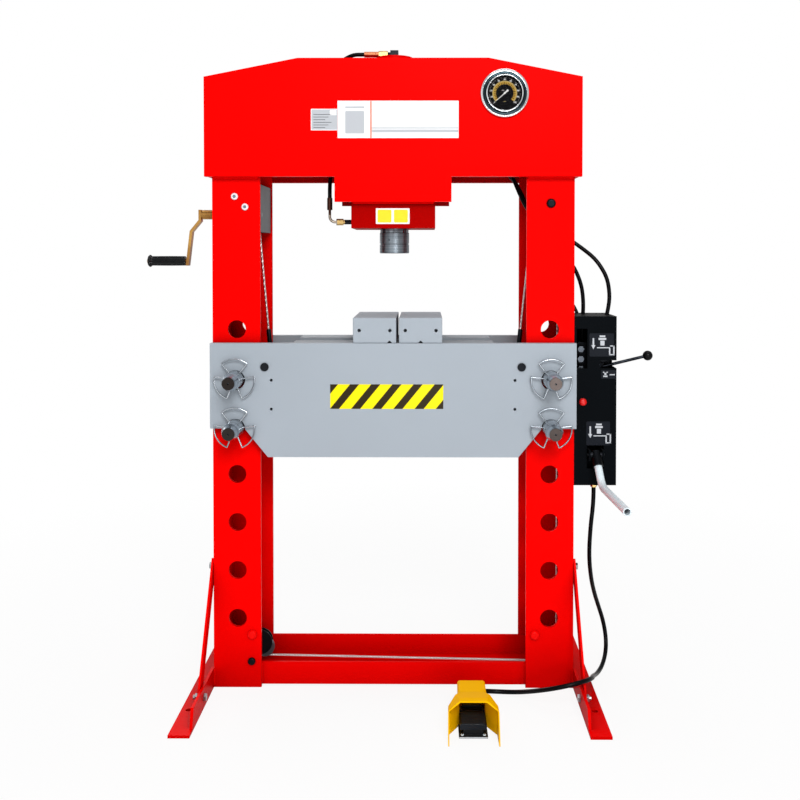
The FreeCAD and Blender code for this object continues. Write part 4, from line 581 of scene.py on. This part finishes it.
def rounded(low_x, high_x, low_z, high_z, corner, steps=6):
    """The outline of a rectangle whose corners are quarter circles, as (x, z) rows."""
    turn = np.linspace(0, math.pi / 2, steps)
    rows = []
    for k, (x, z) in enumerate([(high_x - corner, high_z - corner), (low_x + corner, high_z - corner),
                                (low_x + corner, low_z + corner), (high_x - corner, low_z + corner)]):
        t = turn + k * math.pi / 2
        rows.append(np.stack([x + corner * np.cos(t), z + corner * np.sin(t)], 1))
    return np.vstack(rows)


def film(outline, y, thick):
    """A thin plate on a face that looks along -Y: its outline at the face, its edge, and its front as one face."""
    count = len(outline)
    flat = np.asarray(outline, float)
    points = np.vstack([np.c_[flat[:, 0], np.full(count, y - lift), flat[:, 1]] for lift in (0.0, thick)])
    return points, [*grid(2, count, 0, False, True).tolist(), list(range(count, 2 * count)),
                    list(range(count - 1, -1, -1))]


def sign(name, body, y, coats, fields):
    """Fields of colour on a face that looks along -Y, each laid on the last: (coat number, outline, thickness)."""
    parts = [(*film(np.asarray(outline, float) * MM, y * MM, thick * MM), coat) for coat, outline, thick in fields]
    points, faces, coat_of = joined(parts)
    return piece(name, points, faces, body, coats, coat_of, smooth=False)


def bar(x, z, width, height):
    """A plain rectangle's outline."""
    return [(x, z), (x + width, z), (x + width, z + height), (x, z + height)]


def weld(path, normal_a, normal_b, size=5.0, pitch=4.2):
    """A fillet of weld metal: a bulging section from face a to face b, swept along a straight path and rippled.

    A point is the corner + reach (cos t a + sin t b), where reach bulges past the flat and rises at each ripple, and
    the ripples lag behind in the middle of the bead, as a welder's crescents do."""
    start, end = np.asarray(path, float) * MM
    length = np.linalg.norm(end - start)
    steps = max(8, int(length / (pitch * MM) * 4))
    turn = np.linspace(0, math.pi / 2, 7)
    along = np.linspace(0, 1, steps)[:, None]
    lag = 0.5 * pitch * MM * np.sin(2 * turn)[None, :]
    wave = np.abs(np.sin(math.pi * (along * length - lag) / (pitch * MM)))
    taper = np.clip(np.minimum(along, 1 - along) * length / (size * MM), 0.05, 1) ** 0.5
    flat = 1 / (np.cos(turn) + np.sin(turn))
    reach = size * MM * taper * (flat * 1.12 + 0.10 * wave * np.sin(2 * turn)[None, :])
    a, b = np.asarray(normal_a, float), np.asarray(normal_b, float)
    points = (start + along[:, :, None] * (end - start) + (reach * np.cos(turn))[:, :, None] * a
              + (reach * np.sin(turn))[:, :, None] * b)
    corner = start + along * (end - start)
    points = np.concatenate([points, corner[:, None, :]], 1)
    across = points.shape[1]
    faces = grid(steps, across, 0, False, True).tolist()
    faces += [list(range(across)), list(range((steps - 1) * across, steps * across))]
    return points.reshape(-1, 3), faces


# ---------------------------------------------------------------- the foot valve's hose

hose_points = np.array([
    (590, -60, 572), (590, -60, 527), (580, -70, 461), (578, -52.5, 369), (591, -10, 287.5), (609, 35.5, 225.5),
    (628.5, 69.5, 171.5), (644.5, 86, 125), (653, 81, 77), (649, 55, 38.5), (631, 13, 11.5), (608, -34, 7),
    (591.5, -83, 21), (579, -133, 39), (568, -183, 57), (561.5, -233, 75), (537, -276, 84.5),
    (491.5, -294.5, 80), (447.5, -284, 66), (406.5, -247.5, 44), (371.5, -203, 21.5), (337, -174, 8.5),
    (296, -165.5, 6.5), (259.5, -175, 12), (232.5, -197, 19.5), (218, -230, 24), (218, -264, 24)]) * MM
hose_radius = 0.00635
line = bpy.data.curves.new("foot_hose", "CURVE")
line.dimensions = "3D"
spline = line.splines.new("NURBS")
spline.points.add(len(hose_points) - 1)
spline.points.foreach_set("co", np.c_[hose_points, np.ones(len(hose_points))].ravel())
spline.order_u = 3
spline.use_endpoint_u = True
line.resolution_u = 10
line.bevel_depth, line.bevel_resolution, line.use_fill_caps = hose_radius, 5, True
line.materials.append(finishes["hose_rubber"])
foot_hose = bpy.data.objects.new("foot_hose", line)
bpy.context.scene.collection.objects.link(foot_hose)
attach(foot_hose, "frame")
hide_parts("pedal_hose")


# ---------------------------------------------------------------- the gauge

gauge_x, gauge_z = (sum(side) / 2 for side in zip(*[(p.x, p.z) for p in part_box("gauge_dial")]))
face_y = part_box("gauge_dial")[0].y
front = (0.0, -1.0, 0.0)

# (radius, distance in front of the dial's face, both mm): the can behind, the flange, a bright rolled rim, a dark
# dish, the bright inner ring and the wall down to the dial.
case_profile = [(6.1, -63.7), (48.5, -63.7), (50, -62.2), (50, -2), (69.5, -2), (69.5, 3.2), (68.8, 5.4),
                (67.2, 6.9), (65.2, 7.3), (63.4, 6.6), (62.2, 5.2), (60.4, 3.9), (58, 3.4), (55.6, 4.2),
                (54.3, 6.4), (53.4, 9.6), (52.3, 11.4), (50.8, 12.0), (49.5, 11.6), (49.35, 9.9), (49.3, 7.8),
                (47.4, 7.7), (46.4, 0.4), (46.2, -1.4), (6.1, -1.4)]
# Its rows where the coats change: the end of the can, the dark dish, and the start of the wall down to the dial.
can_to, smoke_from, smoke_to, wall_from = 3, 10, 14, 20
gauge_sides = 96
profile = np.array(case_profile) * MM
points, faces = turned(profile, (gauge_x, face_y, gauge_z), front, gauge_sides, closed=True)
band = np.repeat(np.arange(len(profile)), gauge_sides)
coat_of = np.where((band >= smoke_from) & (band < smoke_to), 1, np.where(band >= wall_from, 2, 0))
coat_of = np.where(band < can_to, 2, coat_of)
case = piece("gauge_body", points, faces, "frame", ["bezel_chrome", "bezel_smoke", "dial_black"],
             coat_of)
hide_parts("gauge_case")

SWEEP, START = 264.0, 222.0


def on_dial(share, radius):
    """The point of the dial at that share of the sweep and radius in mm, as (x, z) in mm from its centre."""
    t = np.radians(START - SWEEP * np.asarray(share, float))
    return radius * np.cos(t), radius * np.sin(t)


def tick(share, inner, outer, width):
    """A mark along a spoke of the dial, as an outline."""
    t = math.radians(START - SWEEP * share)
    along, side = np.array([math.cos(t), math.sin(t)]), np.array([-math.sin(t), math.cos(t)]) * width / 2
    return [along * inner - side, along * outer - side, along * outer + side, along * inner + side]


def arc_band(inner, outer, steps=60):
    """A band between two radii of the dial, over its whole sweep, as quads."""
    shares = np.linspace(0.0, 1.0, steps)
    rows = np.stack([np.stack(on_dial(shares, r), 1) for r in (inner, outer)], 0)
    return rows.reshape(-1, 2), grid(2, steps).tolist()


def on_face(flat, lift):
    """Points in front of the dial's face by lift in mm, from (x, z) rows in metres round the dial's centre."""
    return np.c_[gauge_x + flat[:, 0], np.full(len(flat), face_y - lift * MM), gauge_z + flat[:, 1]]


# The coats of the scale by number, and its radii and heights in mm.
WHITE, YELLOW, CREAM, BLACK = range(4)
ticks_to, blocks_from, blocks_to, figures_at, figure_height = 44.6, 24.6, 31.0, 38.8, 6.3
band_lift, mark_lift, block_lift = 0.10, 0.12, 0.14
one_face = [(0, 1, 2, 3)]
marks = [(*arc_band(25.0, 32.6), YELLOW, band_lift), (*arc_band(33.4, 35.0), CREAM, band_lift)]
for k in range(101):
    deep = 1.9 if k % 10 == 0 else 1.3 if k % 5 == 0 else 0.8
    width = 0.75 if k % 10 == 0 else 0.32
    marks.append((tick(k / 100, ticks_to - deep * 1.1, ticks_to, width), one_face, WHITE, mark_lift))
for k in range(1, 26):
    marks.append((tick(k / 26, blocks_from, blocks_to, 2.8 if k % 2 else 2.2), one_face, BLACK, block_lift))
marks.append((bar(-8.5, 7.6, 6.4, 1.3), one_face, WHITE, mark_lift))
marks.append((bar(-3.2, -24.0, 6.4, 1.0), one_face, CREAM, mark_lift))
parts = [(on_face(np.asarray(flat, float) * MM, lift), quads, coat) for flat, quads, coat, lift in marks]
for k in range(11):
    letters = bpy.data.curves.new("figure", "FONT")
    letters.body, letters.size = str(k * 10), figure_height * MM
    letters.align_x, letters.align_y = "CENTER", "CENTER"
    letters.resolution_u, letters.offset = 3, 0.00018
    holder = bpy.data.objects.new("figure", letters)
    shape = bpy.data.meshes.new_from_object(holder)
    flat = np.array([v.co[:2] for v in shape.vertices]) + np.stack(on_dial(k / 10, figures_at)) * MM
    parts.append((on_face(flat, mark_lift), [list(p.vertices) for p in shape.polygons], WHITE))
    bpy.data.objects.remove(holder)
    bpy.data.meshes.remove(shape)
points, faces, coat_of = joined(parts)
piece("dial_scale", points, faces, "frame", ["needle_white", "scale_yellow", "scale_cream", "dial_black"],
      coat_of, smooth=False)


# ---------------------------------------------------------------- signs and tape

table_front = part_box("table_front_plate")[0].y / MM
head_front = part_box("head_front_plate")[0].y / MM
collar_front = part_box("cylinder_collar")[0].y / MM
box_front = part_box("control_box")[0].y / MM

sign("hazard_tape", "table", table_front, ["hazard_film"],
     [(0, rounded(-180, 144, 817.1, 887.5, 1.0), 0.25)])

sign("head_plate", "frame", head_front, ["white_film", "orange_film", "grey_film", "black_film"], [
    (0, rounded(-158, 187, 1591, 1697, 1.5), 0.45), (1, bar(-64.5, 1591.6, 3.6, 104.8), 0.55),
    (2, bar(-60, 1618, 246, 3.2), 0.55), (2, bar(-60, 1607, 246, 8), 0.50),
    (2, rounded(-136, -82, 1604, 1668, 3), 0.50), (2, bar(-136, 1676, 54, 5), 0.52)])
sign("data_plate", "frame", head_front, ["grey_film", "white_film", "dark_grey_film"], [
    (1, rounded(-234, -158.5, 1613, 1674, 1.5), 0.35), (0, rounded(-232, -158.5, 1615, 1672, 1.0), 0.45),
    (1, bar(-180, 1656, 19, 14), 0.50),
    *[(2, bar(-227, 1620 + 7.5 * k, 34 + 9 * (k % 3), 1.3), 0.50) for k in range(6)]])
sign("collar_plate", "frame", collar_front, ["white_film", "yellow_film"], [
    (0, rounded(-50, 47, 1347, 1392, 1.5), 0.35), (1, rounded(-45, -5, 1351, 1388, 4), 0.45),
    (1, rounded(2, 42, 1351, 1388, 4), 0.45)])


def arrow(x, low, high):
    """A plain arrow's outline that points down: a head at the low end and a shaft above it."""
    neck = low + 12
    return [(x - 2.2, high), (x + 2.2, high), (x + 2.2, neck), (x + 6, neck), (x, low), (x - 6, neck), (x - 2.2, neck)]


def machine_marks(x, z):
    """Plain blocks that stand for a small machine: a cap, a body, a foot and a box beside them."""
    return [bar(x + right, z + up, width, height) for right, up, width, height in (
        (-8, 28, 16, 5), (-11, 20, 22, 6), (-6, 4, 12, 14), (-16, -4, 38, 3), (19, -22, 4, 18), (31, -22, 4, 26),
        (19, -24, 16, 3), (22, 1, 12, 3))]


for label, outline, pointer, marks_at in (
        ("upper_box_plate", rounded(566, 636, 965, 1032, 3), (577, 986, 1018), (603, 993)),
        ("lower_box_plate", rounded(558, 626, 708, 777, 3), (569, 729, 763), (594, 738))):
    sign(label, "frame", box_front, ["dark_grey_film", "grey_film"], [
        (0, outline, 0.30), (1, arrow(*pointer), 0.40), *[(1, block, 0.40) for block in machine_marks(*marks_at)]])
sign("side_box_plate", "frame", box_front, ["dark_grey_film", "grey_film"], [
    (0, rounded(600, 642, 901, 926, 2), 0.30), (1, bar(606, 906, 12, 4), 0.40), (1, bar(609, 912, 6, 9), 0.40),
    (1, bar(605, 918, 14, 3), 0.40), (1, bar(624, 911, 15, 3), 0.40)])


# ---------------------------------------------------------------- small fasteners

def cap_screw(x, y, z, axis, radius, height, socket_radius):
    """A round head on a face: a domed edge, a flat top and a six-sided socket with its own floor, as two coats."""
    r, h, s = radius * MM, height * MM, socket_radius * MM
    dome = [(r, 0), (r, 0.45 * h), (0.93 * r, 0.78 * h), (0.8 * r, 0.95 * h), (0.66 * r, h), (s, h)]
    head = turned(dome, np.array([x, y, z]) * MM, axis, 30)
    pit = turned([(s, h), (s, 0.45 * h), (0, 0.45 * h)], np.array([x, y, z]) * MM, axis, 6)
    return [(*head, 0), (*pit, 1)]


def fasteners(name, body, coats, rows):
    """Several round heads as one piece."""
    parts = [part for row in rows for part in cap_screw(*row)]
    points, faces, coat_of = joined(parts)
    return piece(name, points, faces, body, coats, coat_of)


fasteners("pedal_screws", "frame", ["handle_zinc", "black_oxide"],
          [(x, -431, 5.0, (0, 0, 1), 4.2, 2.6, 2.0) for x in (189, 247)])
# The winch's two sockets: flat hexagons on the pale bolt heads, coloured as painted shade in a recess.
socket_profile = np.array([(5.2, 0), (5.2, 0.25), (0, 0.25)]) * MM
sockets = [(*turned(socket_profile, np.array([x, -132.0, z]) * MM, (0, -1, 0), 6), 0)
           for x, z in ((-457, 1426), (-427, 1396))]
points, faces, coat_of = joined(sockets)
piece("winch_screw_sockets", points, faces, "frame", ["socket_painted_shade"], coat_of, smooth=False)


# ---------------------------------------------------------------- the crank's grip

grip_low, grip_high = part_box("crank_grip")
grip_y, grip_z = (grip_low.y + grip_high.y) / 2, (grip_low.z + grip_high.z) / 2
length = grip_high.x - grip_low.x
# (radius, distance from the end beside the arm, both mm), drawn on a grip of this length and stretched to the real one.
drawn_length = 112
skin = [(6.4, 0), (12.2, 0), (13.4, 0.8), (13.9, 2.4), (13.9, 5)]
skin += [(13.9 + 0.35 * math.sin(math.pi * k / 12), 5 + 92 * k / 12) for k in range(1, 12)]
skin += [(13.9, 98), (14.6, 100), (17.2, 102.5), (17.9, 104.5), (17.6, 107), (15.6, 109.6), (12.2, 111.3), (9.4, 112),
         (6.4, 112)]
skin = np.array(skin) * (1, length / (drawn_length * MM))
points, faces = turned(skin * MM, (grip_high.x, grip_y, grip_z), (-1, 0, 0), 96, closed=True, flutes=12,
                       flute_depth=0.16)
grip = piece("fluted_grip", points, faces, "grip", ["grip_plastic"])
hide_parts("crank_grip")


# ---------------------------------------------------------------- the treadle's pad

def level_plate(outline, low, high):
    """A plate between two heights in metres, in coat 0: its outline at both, its edge, and its top as one face."""
    count = len(outline)
    points = np.vstack([np.c_[outline, np.full(count, level)] for level in (low, high)])
    return points, [*grid(2, count, 0, False, True).tolist(), list(range(count, 2 * count))], 0


first_rib, ribs, rib_pitch, rib_width = -432, 9, 7.6, 5.2
rib_starts = [first_rib + k * rib_pitch for k in range(ribs)]
parts = [level_plate(rounded(187, 249, y, y + rib_width, 1.2, 3) * MM, 0.0350, 0.0368) for y in rib_starts]
parts.append(level_plate(rounded(186, 250, -434, -364, 2, 4) * MM, 0.0348, 0.0356))
points, faces, coat_of = joined(parts)
piece("treadle_pad", points, faces, "treadle", ["pad_rubber"], coat_of, smooth=False)


# ---------------------------------------------------------------- welds

beads = []
for side in (-1, 1):
    for face in (-1, 1):
        beads.append(weld([(side * 522, face * 125, 3), (side * 522, face * 125, 55)], (-side, 0, 0), (0, face, 0)))
        beads.append(weld([(side * 384, face * 113, 7), (side * 384, face * 113, 68)], (-side, 0, 0), (0, face, 0), 4))
        beads.append(weld([(side * 520, face * 125, 1482), (side * 386, face * 125, 1482)], (0, face, 0), (0, 0, -1)))
for face in (-1, 1):
    beads.append(weld([(-119, face * 125, 1410), (119, face * 125, 1410)], (0, face, 0), (0, 0, -1)))
points, faces, coat_of = joined([(*bead, 0) for bead in beads])
piece("frame_welds", points, faces, "frame", ["red_enamel"], coat_of)
